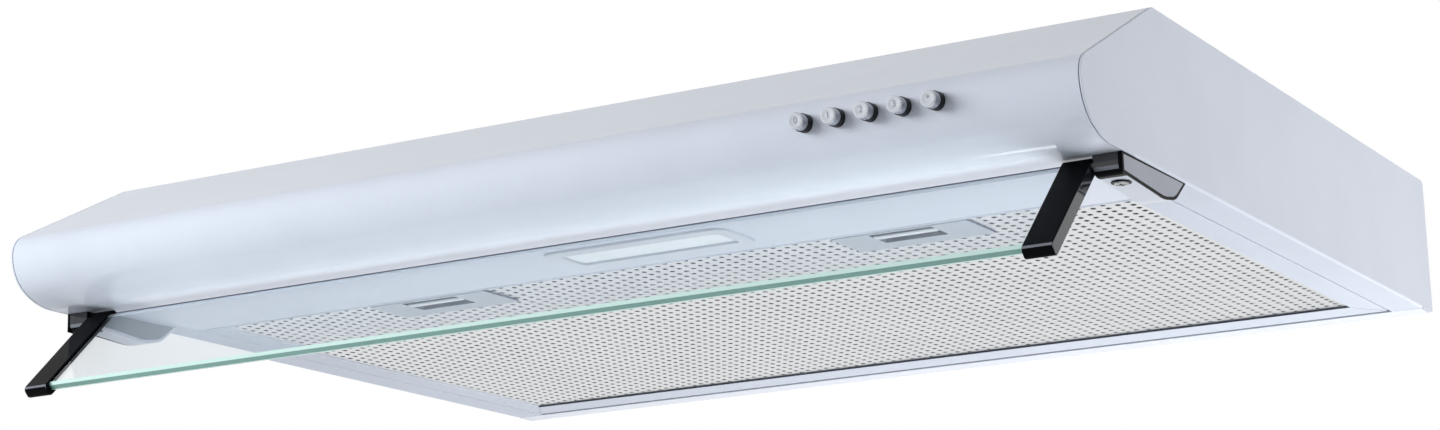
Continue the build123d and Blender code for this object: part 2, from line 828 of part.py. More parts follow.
def grille_frame():
    """Bent border of the grease grille, with turned-up walls and hinge pins."""
    x = (-grille_half, grille_half)
    y = (grille_front, grille_rear)
    frame = block(x, y, (under, under + grille_height))
    frame -= block(
        (x[0] + sheet, x[1] - sheet), (y[0] + sheet, y[1] - sheet), (floor_inside, under + 2 * grille_height)
    )
    frame -= block((-mesh_half, mesh_half), (mesh_front, mesh_rear), (under - sheet, floor_inside + sheet))
    slot_z = (under + tongue_rise - latch_side_gap, under + tongue_rise + tongue_thickness + latch_side_gap)
    for place in latch_places:
        half = tongue_width / 2 + latch_side_gap
        frame -= block((place - half, place + half), (y[0] - sheet, y[0] + 2 * sheet), slot_z)
    for side in (-1, 1):
        frame -= mitre_groove(side)
    pin_end = grille_half + grille_side_gap + grille_pin_reach
    for low, high in ((-pin_end, -grille_half + sheet), (grille_half - sheet, pin_end)):
        frame += along_x(grille_rear, grille_pin_z, grille_pin_radius, low, high)
    return frame


def mesh_opening():
    """Half length and half width of one diamond opening between the strands."""
    cell_x = mesh_pitch_x / 2
    cell_y = mesh_pitch_y
    cell = cell_x * cell_y / math.hypot(cell_x, cell_y)
    open_share = (cell - mesh_strand / 2) / cell
    return open_share * cell_x, open_share * cell_y


def mesh_places():
    """Staggered centres of the mesh openings, clear of the border and latches."""
    places = []
    half_x, half_y = mesh_opening()
    rows = 1 + int((mesh_rear - mesh_front - 2 * half_y) / mesh_pitch_y)
    first = (mesh_front + mesh_rear - (rows - 1) * mesh_pitch_y) / 2
    widest = 1 + int(2 * (mesh_half - half_x) / mesh_pitch_x)
    for row in range(rows):
        y = first + row * mesh_pitch_y
        columns = widest - row % 2
        for column in range(columns):
            x = (column - (columns - 1) / 2) * mesh_pitch_x
            reach = latch_length / 2 + mesh_cut_gap + half_x
            beside_latch = any(abs(x - place) < reach for place in latch_places)
            if y < latch_rear + mesh_cut_gap + half_y and beside_latch:
                continue
            places.append((x, y))
    return places


def grille_mesh():
    """Open aluminium mesh that lies inside the border, one holed sheet."""
    half = mesh_half + mesh_overlap
    depth_low = mesh_front - (border_front - sheet - panel_gap)
    depth_high = mesh_rear + mesh_overlap
    middle = (depth_low + depth_high) / 2
    face = Pos(0, middle) * Rectangle(2 * half, depth_high - depth_low)
    half_x, half_y = mesh_opening()
    diamond = Polygon((-half_x, 0), (0, -half_y), (half_x, 0), (0, half_y), align=None)
    face -= Sketch() + [Pos(x, y) * diamond for x, y in mesh_places()]
    for x in latch_places:
        length = latch_length - 2 * latch_edge + 2 * mesh_cut_gap
        width = latch_width - 2 * latch_edge + 2 * mesh_cut_gap
        face -= Pos(x, (latch_front + latch_rear) / 2) * Rectangle(length, width)
    return Pos(0, 0, mesh_low) * extrude(face, amount=mesh_thickness)


def filter_mat():
    """Grease-absorbing mat that lies on the mesh."""
    half = mesh_half + mesh_overlap
    low = mesh_high + mat_gap
    y = (front + mat_front_setback, mesh_rear + mesh_overlap)
    return block((-half, half), y, (low, low + mat_thickness))


def mat_retainer():
    """Wire frame that holds the mat down, its ends against the border walls."""
    z = mat_high + mat_gap / 2 + wire_radius
    end = grille_half - sheet - mat_gap / 2
    y_low = front + mat_front_setback + 4 * wire_radius
    y_high = grille_rear - sheet - mat_gap / 2
    y_rail = mesh_rear - 4 * wire_radius
    wires = along_x(y_low, z, wire_radius, -end, end)
    wires += along_x((y_low + y_rail) / 2, z, wire_radius, -end, end)
    wires += along_x(y_rail, z, wire_radius, -end, end)
    for index in range(wire_cross_count):
        x = (index - (wire_cross_count - 1) / 2) * 2 * mesh_half / wire_cross_count
        place = Plane((x, 0, z), x_dir=(1, 0, 0), z_dir=(0, 1, 0))
        wires += rod(place, wire_radius, y_low, y_high)
    return wires


def latch_bezel(x):
    """Latch plate set in the mesh, with a finger slot open from below."""
    middle = (latch_front + latch_rear) / 2
    bezel = plate(latch_length, latch_width, latch_corner, under, under + latch_plate, x, middle)
    body_length = latch_length - 2 * latch_edge
    body_width = latch_width - 2 * latch_edge
    bezel += plate(body_length, body_width, latch_corner, under, under + latch_height, x, middle)
    hollow_x = (x - body_length / 2 + latch_wall, x + body_length / 2 - latch_wall)
    top = under + latch_height - latch_wall
    slot_x = (x - slot_length / 2, x + slot_length / 2)
    bezel -= block(slot_x, (slot_front, slot_rear), (under - latch_wall, top))
    for low, high in ((hollow_x[0], slot_x[0] - latch_wall), (slot_x[1] + latch_wall, hollow_x[1])):
        bezel -= block(
            (low, high),
            (latch_front + latch_edge + latch_wall, latch_rear - latch_edge - latch_wall),
            (under + latch_plate, under + 2 * latch_height),
        )
    half = tongue_width / 2 + latch_side_gap
    guide_z = (under + tongue_rise - latch_side_gap, under + tongue_rise + tongue_thickness + latch_side_gap)
    return bezel - block((x - half, x + half), (latch_front - sheet, slot_front + sheet), guide_z)


def latch_slider(x):
    """Finger rib with the tongue that it draws back from the front strip."""
    half = slot_length / 2 - latch_side_gap
    top = under + latch_height - latch_wall - rib_top_gap
    rib = block((x - half, x + half), (rib_front, rib_front + rib_thickness), (under + rib_foot, top))
    rib = fillet(rib.edges().filter_by(Axis.X).sort_by(Axis.Z)[:2], sheet)
    tongue_z = (under + tongue_rise, under + tongue_rise + tongue_thickness)
    tongue_y = (strip_rear + tongue_stop, rib_front + sheet)
    return rib + block((x - tongue_width / 2, x + tongue_width / 2), tongue_y, tongue_z)


# Glass visor


def visor_plane(x):
    """Plane whose X points down the visor and whose Y points out of its face."""
    angle = math.radians(visor_rest)
    down = (0, -math.cos(angle), -math.sin(angle))
    return Plane((x, pivot_y, pivot_z), x_dir=down, z_dir=(1, 0, 0))


def visor_piece(profile, low, high):
    """Extrude a profile drawn along and across the visor, from X = low to high."""
    return visor_plane(low) * extrude(profile, amount=high - low)


def bar(low, high, thickness):
    """Rectangle along the visor, centred on the line through its pivots."""
    return Pos((low + high) / 2, 0) * Rectangle(high - low, thickness)


def visor_arm():
    """Right-hand arm: round at the pivot, slotted on its inner side for the glass."""
    profile = bar(0, arm_length, arm_thickness) + Circle(arm_thickness / 2)
    far = [(arm_length, -arm_thickness / 2), (arm_length, arm_thickness / 2)]
    profile = rounded(profile, far, arm_end_radius)
    low = arm_outer_x - arm_width
    arm = visor_piece(profile, low, arm_outer_x)
    slot = bar(glass_top - glass_play, glass_bottom + glass_play, glass_thickness + 2 * glass_play)
    arm -= visor_piece(slot, low - sheet, low + glass_engaged + glass_play)
    bore = pivot_radius + running_gap / 2
    return arm - along_x(pivot_y, pivot_z, bore, low + glass_engaged, arm_outer_x + sheet)


def visor_glass():
    """Flat glass pane held by its two ends in the arms."""
    half = arm_outer_x - arm_width + glass_engaged
    pane = visor_piece(bar(glass_top, glass_bottom, glass_thickness), -half, half)
    long_edges = pane.edges().filter_by(Axis.X)
    return chamfer(long_edges, glass_thickness / 10)


def visor_pins():
    """Pivot pin on each side with a thin washer between arm and cap."""
    low = arm_outer_x - arm_width / 3
    high = housing_outer_x - housing_wall
    pin = along_x(pivot_y, pivot_z, pivot_radius, low, high)
    pin += along_x(pivot_y, pivot_z, washer_radius, arm_outer_x, arm_outer_x + washer_thickness)
    return Compound(children=[pin, mirror(pin, about=Plane.YZ)])


def hinge_cap():
    """Black pivot block at the front of the right-hand hinge housing."""
    y = (front + cap_front_setback, front + cap_rear_setback)
    cap = block((housing_inner_x, housing_outer_x), y, (under - cap_drop, under))
    lower_front = cap.edges().filter_by(Axis.X).group_by(Axis.Z)[0].sort_by(Axis.Y)[0]
    cap = fillet(lower_front, cap_front_radius)
    bore = pivot_radius + running_gap
    bore_end = housing_outer_x - housing_wall + panel_gap
    return cap - along_x(pivot_y, pivot_z, bore, housing_inner_x - sheet, bore_end)


def housing_profile(inset):
    """Side profile of a hinge housing, deepening to its heel, in Y and Z."""
    start = front + cap_rear_setback + inset
    corners = [
        (start, under),
        (start, under - housing_front_drop + inset),
        (front + housing_deep_setback, under - housing_deep_drop + inset),
        (front + housing_heel_setback - inset, under - housing_heel_drop + inset),
        (front + housing_rear_setback - 2 * inset, under),
    ]
    face = make_face(Polyline(*corners, close=True))
    return rounded(face, corners[2:4], cap_front_radius)


def hinge_housing():
    """Right-hand hinge housing, open on top, with a boss for its screw."""
    housing = across(housing_profile(0), housing_inner_x, housing_outer_x)
    wall = housing_wall
    housing -= across(housing_profile(wall), housing_inner_x + wall, housing_outer_x - wall)
    screw_y = front + hinge_screw_setback
    boss = upright(hinge_screw_x, screw_y, hinge_screw_boss, under - housing_front_drop, under)
    housing += boss & across(housing_profile(0), housing_inner_x, housing_outer_x)
    hole = hinge_screw_radius + screw_hole_gap
    return housing - upright(hinge_screw_x, screw_y, hole, under - 2 * housing_deep_drop, under + sheet)


def hinge_screws():
    """Cross-head screw that fixes each hinge housing to the side flange."""
    screw_y = front + hinge_screw_setback
    rise = (hinge_screw_setback - cap_rear_setback) / (housing_deep_setback - cap_rear_setback)
    seat = under - housing_front_drop - rise * (housing_deep_drop - housing_front_drop)
    low = seat - hinge_screw_head_height
    head = upright(hinge_screw_x, screw_y, hinge_screw_head, low, seat - panel_gap)
    head = fillet(head.edges().filter_by(GeomType.CIRCLE).sort_by(Axis.Z)[0], hinge_screw_head_height / 4)
    for size in ((hinge_screw_head, sheet), (sheet, hinge_screw_head)):
        head -= Pos(hinge_screw_x, screw_y, low) * Box(*size, hinge_screw_head_height)
    screw = head + upright(hinge_screw_x, screw_y, hinge_screw_radius, seat - 2 * panel_gap, under)
    return Compound(children=[screw, mirror(screw, about=Plane.YZ)])


def parts():
    """Every sub-part of the hood by its name."""
    made = {
        "canopy_shell": canopy_shell(),
        "lamp_panel": lamp_panel(),
        "duct_spigot": duct_spigot(),
        "scroll_housing": scroll_housing(),
        "scroll_cover": scroll_cover(),
        "scroll_screws": scroll_screws(),
        "motor_can": motor_can(),
        "motor_bracket": motor_bracket(),
        "impeller": impeller(),
        "rotor_shaft": rotor_shaft(),
        "capacitor": capacitor(),
        "terminal_box": terminal_box(),
        "terminal_lid": terminal_lid(),
        "cable_gland": cable_gland(),
        "switch_module": switch_module(),
        "lamp_bezel": lamp_bezel(),
        "lamp_lens": lamp_lens(),
        "lamp_housing": lamp_housing(),
        "led_board": led_board(),
        "grille_frame": grille_frame(),
        "grille_mesh": grille_mesh(),
        "filter_mat": filter_mat(),
        "mat_retainer": mat_retainer(),
        "visor_glass": visor_glass(),
        "visor_pins": visor_pins(),
        "hinge_screws": hinge_screws(),
    }
    pairs = {
        "side_panel": side_panel(),
        "flap": flap(),
        "visor_arm": visor_arm(),
        "hinge_cap": hinge_cap(),
        "hinge_housing": hinge_housing(),
    }
    for name, solid in pairs.items():
        for side, copy in both_sides(solid).items():
            made[f"{name}_{side}"] = copy
    for side, x in zip(("left", "right"), latch_places):
        made[f"latch_bezel_{side}"] = latch_bezel(x)
        made[f"latch_slider_{side}"] = latch_slider(x)
    for index in range(button_count):
        made[f"button_{index + 1}"] = push_button(index)
    return made


for node, shape in parts().items():
    export_step(shape, f"parts/{node}.step")
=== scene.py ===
"""Looks of a slim under-cabinet cooker hood with a swing-out glass visor.

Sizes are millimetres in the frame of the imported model: X across the hood,
Y from front to rear, Z up, with the flat top at Z = 0.
"""

from __future__ import annotations

import json
import logging
import math
from contextlib import contextmanager
from dataclasses import dataclass
from enum import Enum
from typing import Callable, Iterator, Sequence

import bmesh
import bpy
from mathutils import Matrix, Vector

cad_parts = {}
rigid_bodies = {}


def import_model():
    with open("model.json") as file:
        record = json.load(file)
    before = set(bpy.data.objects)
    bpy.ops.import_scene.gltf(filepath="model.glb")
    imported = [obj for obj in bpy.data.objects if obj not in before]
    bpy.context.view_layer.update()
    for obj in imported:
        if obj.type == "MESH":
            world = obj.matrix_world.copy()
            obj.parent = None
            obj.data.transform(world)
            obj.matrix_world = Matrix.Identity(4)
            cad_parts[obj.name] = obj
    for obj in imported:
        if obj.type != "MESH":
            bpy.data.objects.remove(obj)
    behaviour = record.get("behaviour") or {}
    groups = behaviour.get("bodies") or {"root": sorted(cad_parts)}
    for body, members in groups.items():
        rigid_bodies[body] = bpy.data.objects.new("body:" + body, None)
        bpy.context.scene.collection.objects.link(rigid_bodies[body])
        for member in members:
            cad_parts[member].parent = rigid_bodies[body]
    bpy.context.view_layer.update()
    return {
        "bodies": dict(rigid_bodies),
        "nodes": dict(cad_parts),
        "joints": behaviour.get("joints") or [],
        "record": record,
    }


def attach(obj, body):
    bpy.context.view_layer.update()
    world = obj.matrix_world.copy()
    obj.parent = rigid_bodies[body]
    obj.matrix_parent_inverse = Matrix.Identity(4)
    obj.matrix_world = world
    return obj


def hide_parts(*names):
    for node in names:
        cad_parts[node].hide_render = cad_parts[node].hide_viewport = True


log = logging.getLogger("hood")

MM = 0.001
# How near to a plane a place counts as lying on it, in millimetres.
NEAR = 0.01
# Parts of a direction along an axis, from which it counts as square to a face, as
# parallel to the axis or as leaning its way, and below which it counts as aside.
SQUARE = 0.99
ALONG = 0.9
LEANS = 0.5
ASIDE = 0.3
# How far a cutter reaches past what it cuts, in millimetres.
CLEAR = 1.0
# Sides of a small bore or pin that is drawn as a many-sided prism.
BORE_SIDES = 24

Point = Sequence[float]
Test = Callable[[Vector, Vector], bool]
Tree = bpy.types.NodeTree
Socket = bpy.types.NodeSocket


def metres(point: Point) -> Vector:
    """Point or length triple in millimetres, as a vector in metres."""
    return Vector(point) * MM


def linear(colour: str) -> tuple[float, float, float, float]:
    """sRGB hex colour as the linear colour that a shader works with.

    Args:
        colour: six hex digits, such as "dfe3ea".

    Returns:
        Linear red, green, blue and an alpha of one.
    """
    channels = [int(colour[at : at + 2], 16) / 255 for at in (0, 2, 4)]
    bent = [c / 12.92 if c <= 0.04045 else ((c + 0.055) / 1.055) ** 2.4 for c in channels]
    return (*bent, 1.0)


def upright(at: Vector, way: Vector) -> bool:
    """True for an edge that stands upright."""
    return abs(way.z) > ALONG


def faces_down(at: Vector, normal: Vector) -> bool:
    """True for a face that looks down."""
    return normal.z < -ALONG


def round_foot(level: float) -> Test:
    """Test for the edges round a lower face at a height."""
    return lambda at, way: at.z < level + NEAR and not upright(at, way)


def about(angle: float, axis: str, pivot: Point) -> Matrix:
    """Turn about an axis through a pivot in millimetres, by an angle in degrees."""
    place = Matrix.Translation(metres(pivot))
    return place @ Matrix.Rotation(math.radians(angle), 4, axis) @ place.inverted()


class Pick(Enum):
    """What a selection in edit mode is made of."""

    POINTS = "VERT"
    EDGES = "EDGE"
    FACES = "FACE"


class Piece:
    """One mesh piece, shaped with Blender's own operators as by hand."""

    def __init__(self, name: str) -> None:
        """Take the object that an operator has just added as this piece.

        Args:
            name: name of the piece and of its mesh.
        """
        self.thing = bpy.context.object
        self.thing.name = name
        self.thing.data.name = name
        bpy.ops.object.transform_apply(location=True, rotation=True, scale=True)

    @classmethod
    def box(cls, name: str, low: Point, high: Point) -> Piece:
        """Block between two corners.

        Args:
            name: name of the piece.
            low: lowest corner.
            high: highest corner.

        Returns:
            The new piece.
        """
        bpy.ops.object.select_all(action="DESELECT")
        middle = (metres(low) + metres(high)) / 2
        size = metres(high) - metres(low)
        bpy.ops.mesh.primitive_cube_add(size=1, location=middle, scale=size)
        return cls(name)

    @classmethod
    def centred(cls, name: str, x: float, half: float, depth: Point, height: Point) -> Piece:
        """Block that reaches as far to the left of a place as to its right.

        Args:
            name: name of the piece.
            x: place of its middle across the hood.
            half: half of its width.
            depth: Y of its front and rear faces.
            height: Z of its lower and upper faces.

        Returns:
            The new piece.
        """
        return cls.box(name, (x - half, depth[0], height[0]), (x + half, depth[1], height[1]))

    @classmethod
    def rod(cls, name: str, start: Point, end: Point, radius: float, sides: int = 48) -> Piece:
        """Round bar between two points.

        Args:
            name: name of the piece.
            start: centre of the first end, which becomes the lower one of its own axis.
            end: centre of the other end.
            radius: radius of the bar.
            sides: number of flat faces round it.

        Returns:
            The new piece.
        """
        bpy.ops.object.select_all(action="DESELECT")
        run = metres(end) - metres(start)
        bpy.ops.mesh.primitive_cylinder_add(
            vertices=sides,
            radius=radius * MM,
            depth=run.length,
            location=(metres(start) + metres(end)) / 2,
            rotation=run.to_track_quat("Z", "Y").to_euler(),
        )
        return cls(name)

    @classmethod
    def edge(cls, name: str, start: Point, end: Point) -> Piece:
        """Straight edge parallel to X, left over from a plane, to be bent into sheet.

        Args:
            name: name of the piece.
            start: left end of the edge.
            end: right end of the edge.

        Returns:
            The new piece.
        """
        bpy.ops.object.select_all(action="DESELECT")
        length = end[0] - start[0]
        middle = metres(start) + metres((length / 2, length / 2, 0))
        bpy.ops.mesh.primitive_plane_add(size=length * MM, location=middle)
        piece = cls(name)
        with piece.editing():
            piece.pick(Pick.POINTS, lambda at, normal: at.y > middle.y / MM)
            bpy.ops.mesh.delete(type="VERT")
        return piece

    @classmethod
    def dot(cls, name: str, place: Point) -> Piece:
        """Single point, left over from a plane, to be drawn out into an outline.

        Args:
            name: name of the piece.
            place: the point.

        Returns:
            The new piece.
        """
        bpy.ops.object.select_all(action="DESELECT")
        bpy.ops.mesh.primitive_plane_add(size=MM, location=metres(place))
        piece = cls(name)
        with piece.editing():
            piece.take_all()
            bpy.ops.mesh.merge(type="CENTER")
        return piece

    def _choose(self) -> None:
        """Select this piece alone and make it the active one."""
        bpy.ops.object.select_all(action="DESELECT")
        self.thing.select_set(True)
        bpy.context.view_layer.objects.active = self.thing

    @contextmanager
    def editing(self) -> Iterator[None]:
        """Edit mode on this piece alone, and object mode again afterwards."""
        self._choose()
        bpy.ops.object.mode_set(mode="EDIT")
        yield
        bpy.ops.object.mode_set(mode="OBJECT")

    def take_all(self) -> None:
        """Select everything, in edit mode."""
        bpy.ops.mesh.select_all(action="SELECT")

    def pick(self, kind: Pick, test: Test) -> int:
        """Select points, edges or faces by their place, in edit mode.

        Args:
            kind: what is selected.
            test: called with an element's middle in millimetres and with its
                normal, or an edge's direction, and true for what is selected.

        Returns:
            How many elements were selected.
        """
        bpy.ops.mesh.select_all(action="DESELECT")
        bpy.ops.mesh.select_mode(type=kind.value)
        mesh = bmesh.from_edit_mesh(self.thing.data)
        if kind is Pick.POINTS:
            found = [(point, point.co, point.normal) for point in mesh.verts]
        elif kind is Pick.EDGES:
            ends = [(edge, edge.verts[0].co, edge.verts[1].co) for edge in mesh.edges]
            found = [(edge, (a + b) / 2, (b - a).normalized()) for edge, a, b in ends]
        else:
            found = [(face, face.calc_center_median(), face.normal) for face in mesh.faces]
        picked = [element for element, middle, way in found if test(middle / MM, way)]
        for element in picked:
            element.select = True
        mesh.select_flush_mode()
        bmesh.update_edit_mesh(self.thing.data)
        return len(picked)

    def extrude(self, move: Point) -> None:
        """Extrude what is selected along a move in millimetres."""
        bpy.ops.mesh.extrude_region_move(TRANSFORM_OT_translate={"value": metres(move)})

    def spin(self, angle: float, centre: Point, axis: Point, steps: int) -> None:
        """Spin what is selected round an axis.

        Args:
            angle: turn in degrees, anticlockwise seen from the axis' tip.
            centre: point on the axis.
            axis: direction of the axis.
            steps: number of flat steps in the turn.
        """
        turn = -math.radians(angle)
        bpy.ops.mesh.spin(steps=steps, angle=turn, center=metres(centre), axis=axis)

    def move(self, offset: Point) -> None:
        """Move what is selected by an offset in millimetres."""
        bpy.ops.transform.translate(value=metres(offset))

    def split(self, place: Point, out: Point, clear: bool = False) -> None:
        """Divide what is selected along a plane, and drop what lies beyond it if asked."""
        bpy.ops.mesh.bisect(plane_co=metres(place), plane_no=out, clear_outer=clear)

    def bevel(self, width: float, segments: int) -> None:
        """Bevel the selected edges into a round, in edit mode."""
        bpy.ops.mesh.bevel(offset=width * MM, segments=segments, affect="EDGES", clamp_overlap=True)

    def bevel_points(self, width: float, segments: int) -> None:
        """Bevel the selected points of a flat outline, in edit mode."""
        bpy.ops.mesh.bevel(offset=width * MM, segments=segments, affect="VERTICES")

    def inset(self, width: float, rise: float = 0.0, single: bool = False) -> None:
        """Inset the selected faces, and raise the inner ones along their normal."""
        bpy.ops.mesh.inset(thickness=width * MM, depth=rise * MM, use_individual=single)

    def round_edges(self, test: Test, width: float, segments: int = 4) -> Piece:
        """Bevel the edges that pass a test, and leave edit mode.

        Args:
            test: true for an edge's middle and direction.
            width: distance from each old edge.
            segments: flat steps across the bevel.

        Returns:
            This piece.
        """
        with self.editing():
            self.pick(Pick.EDGES, test)
            self.bevel(width, segments)
        return self

    def modify(self, kind: str, **settings: object) -> Piece:
        """Add a modifier to the piece and apply it.

        Args:
            kind: the modifier's type.
            settings: values of the modifier's own properties.

        Returns:
            This piece.
        """
        self._choose()
        modifier = self.thing.modifiers.new(kind.title(), kind)
        for name, value in settings.items():
            setattr(modifier, name, value)
        bpy.ops.object.modifier_apply(modifier=modifier.name)
        return self

    def thicken(self, thickness: float) -> Piece:
        """Give a surface its wall, on the side away from its normals."""
        return self.modify("SOLIDIFY", thickness=thickness * MM, offset=-1.0, use_even_offset=True)

    def soften(self, width: float, segments: int = 2, angle: float = 35.0) -> Piece:
        """Bevel every sharp edge, all over the piece.

        Args:
            width: width of the bevel.
            segments: flat steps across it.
            angle: sharpness in degrees from which an edge is bevelled.

        Returns:
            This piece.
        """
        return self.modify(
            "BEVEL",
            width=width * MM,
            segments=segments,
            limit_method="ANGLE",
            angle_limit=math.radians(angle),
            use_clamp_overlap=True,
            harden_normals=False,
        )

    def cut(self, *tools: Piece) -> Piece:
        """Cut other pieces out of this one, and throw them away."""
        return self._combine("DIFFERENCE", tools)

    def fuse(self, *others: Piece) -> Piece:
        """Weld other pieces into this one as a single solid."""
        return self._combine("UNION", others)

    def _combine(self, operation: str, tools: Sequence[Piece]) -> Piece:
        """Boolean this piece with tools that are then removed.

        Args:
            operation: the modifier's own word for cut or weld.
            tools: the pieces that it works with.

        Returns:
            This piece.
        """
        for tool in tools:
            self.modify("BOOLEAN", operation=operation, object=tool.thing, solver="EXACT")
            bpy.data.objects.remove(tool.thing)
        return self

    def join(self, *others: Piece) -> Piece:
        """Put other pieces into this one's mesh, each as a shell of its own.

        Args:
            others: the pieces that go in.

        Returns:
            This piece.
        """
        self._choose()
        for other in others:
            other.thing.select_set(True)
        bpy.ops.object.join()
        return self

    def outward(self) -> Piece:
        """Merge doubles and turn every face outwards."""
        with self.editing():
            self.take_all()
            bpy.ops.mesh.remove_doubles(threshold=NEAR / 5 * MM)
            bpy.ops.mesh.normals_make_consistent(inside=False)
        return self

    def face_up(self, test: Test) -> Piece:
        """Flip the whole surface if the face that passes a test points the wrong way.

        Args:
            test: true for the middle and normal of a face that points inwards.

        Returns:
            This piece.
        """
        with self.editing():
            wrong = self.pick(Pick.FACES, test)
            if wrong:
                self.take_all()
                bpy.ops.mesh.flip_normals()
        return self

    def smooth(self, angle: float = 32.0) -> Piece:
        """Shade smooth across edges flatter than an angle in degrees."""
        self._choose()
        bpy.ops.object.shade_smooth_by_angle(angle=math.radians(angle))
        return self.modify("WEIGHTED_NORMAL", keep_sharp=True, weight=100)

    def copy(self, name: str) -> Piece:
        """Copy of this piece with a mesh of its own."""
        self._choose()
        bpy.ops.object.duplicate(linked=False)
        return Piece(name)

    def mirrored(self, name: str) -> Piece:
        """Copy of this piece on the other side of the middle plane, facing outwards.

        Args:
            name: name of the copy.

        Returns:
            The copy.
        """
        twin = self.copy(name)
        twin.thing.scale.x = -1
        bpy.ops.object.transform_apply(location=False, rotation=False, scale=True)
        with twin.editing():
            twin.take_all()
            bpy.ops.mesh.flip_normals()
        return twin.smooth()

    def tilt(self, angle: float, pivot: Point) -> Piece:
        """Turn the whole piece about an axis parallel to X.

        Args:
            angle: turn in degrees.
            pivot: point on the axis.

        Returns:
            This piece.
        """
        self.thing.matrix_world = about(angle, "X", pivot)
        self._choose()
        bpy.ops.object.transform_apply(location=True, rotation=True, scale=True)
        return self

    def dress(self, finish: Substance, body: str, *nodes: str) -> Piece:
        """Give the piece its finish and its body, and say what it stands for.

        Args:
            finish: finish of the whole piece.
            body: body that it rides on.
            nodes: CAD nodes that it replaces.

        Returns:
            This piece.
        """
        self.thing.data.materials.clear()
        self.thing.data.materials.append(finish.material())
        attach(self.thing, body)
        if nodes:
            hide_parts(*nodes)
        log.info("%s: %d faces on %s", self.thing.name, len(self.thing.data.polygons), body)
        return self

    def second(self, finish: Substance, test: Test) -> Piece:
        """Give the faces that pass a test another finish than the rest.

        Args:
            finish: finish of those faces.
            test: true for a face's middle in millimetres and its normal.

        Returns:
            This piece.
        """
        mesh = self.thing.data
        mesh.materials.append(finish.material())
        for face in mesh.polygons:
            if test(face.center / MM, face.normal):
                face.material_index = len(mesh.materials) - 1
        return self


def add_node(
    tree: Tree,
    kind: str,
    settings: dict[str, object] | None = None,
    links: dict[str | int, Socket] | None = None,
) -> bpy.types.Node:
    """Add one shader node with its settings and its incoming links.

    Args:
        tree: node tree of the material or world.
        kind: node type without its "ShaderNode" prefix.
        settings: values for properties of the node, or for its inputs by name.
        links: output sockets that feed the node's inputs, by input name or number.

    Returns:
        The new node.
    """
    node = tree.nodes.new("ShaderNode" + kind)
    for name, value in (settings or {}).items():
        if name in node.inputs:
            node.inputs[name].default_value = value
        else:
            setattr(node, name, value)
    for name, socket in (links or {}).items():
        tree.links.new(socket, node.inputs[name])
    return node


@dataclass(frozen=True)
class Substance:
    """What the eye sees a surface as, and the material that shows it.

    Attributes:
        name: name of the material.
        slot: the record's material slot; not used.
        colour: sRGB hex colour of most of the surface, or of what passes through.
    """

    name: str
    slot: str
    colour: str

    def material(self) -> bpy.types.Material:
        """Blender material of this substance, made on first use."""
        made = bpy.data.materials.get(self.name)
        if made is None:
            made = bpy.data.materials.new(self.name)
            made.use_nodes = True
            made.node_tree.nodes.clear()
            self._build(made.node_tree)
        return made

    def _build(self, tree: Tree) -> None:
        """Fill the material's empty node tree, each kind of substance in its way."""
        raise NotImplementedError


class Grain(Enum):
    """How a surface was made, which decides its fine relief.

    Each has the texture node that draws it, that node's settings, its output that
    gives the relief, and how much darker the surface is where that is lowest.
    """

    PLAIN = ("TexNoise", {"Detail": 4.0}, "Fac", 0.03)
    PEEL = ("TexNoise", {"Detail": 1.0}, "Fac", 0.03)
    BRUSHED = ("TexNoise", {"Detail": 4.0}, "Fac", 0.12)
    SPANGLE = ("TexVoronoi", {"Randomness": 1.0}, "Color", 0.3)
    FIBRE = ("TexNoise", {"Detail": 6.0, "Distortion": 2.5, "Roughness": 0.75}, "Fac", 0.35)
    PRISM = ("TexWave", {"bands_direction": "X", "wave_profile": "TRI"}, "Fac", 0.05)
    SPARK = ("TexVoronoi", {"feature": "SMOOTH_F1", "Smoothness": 0.6}, "Distance", 0.06)


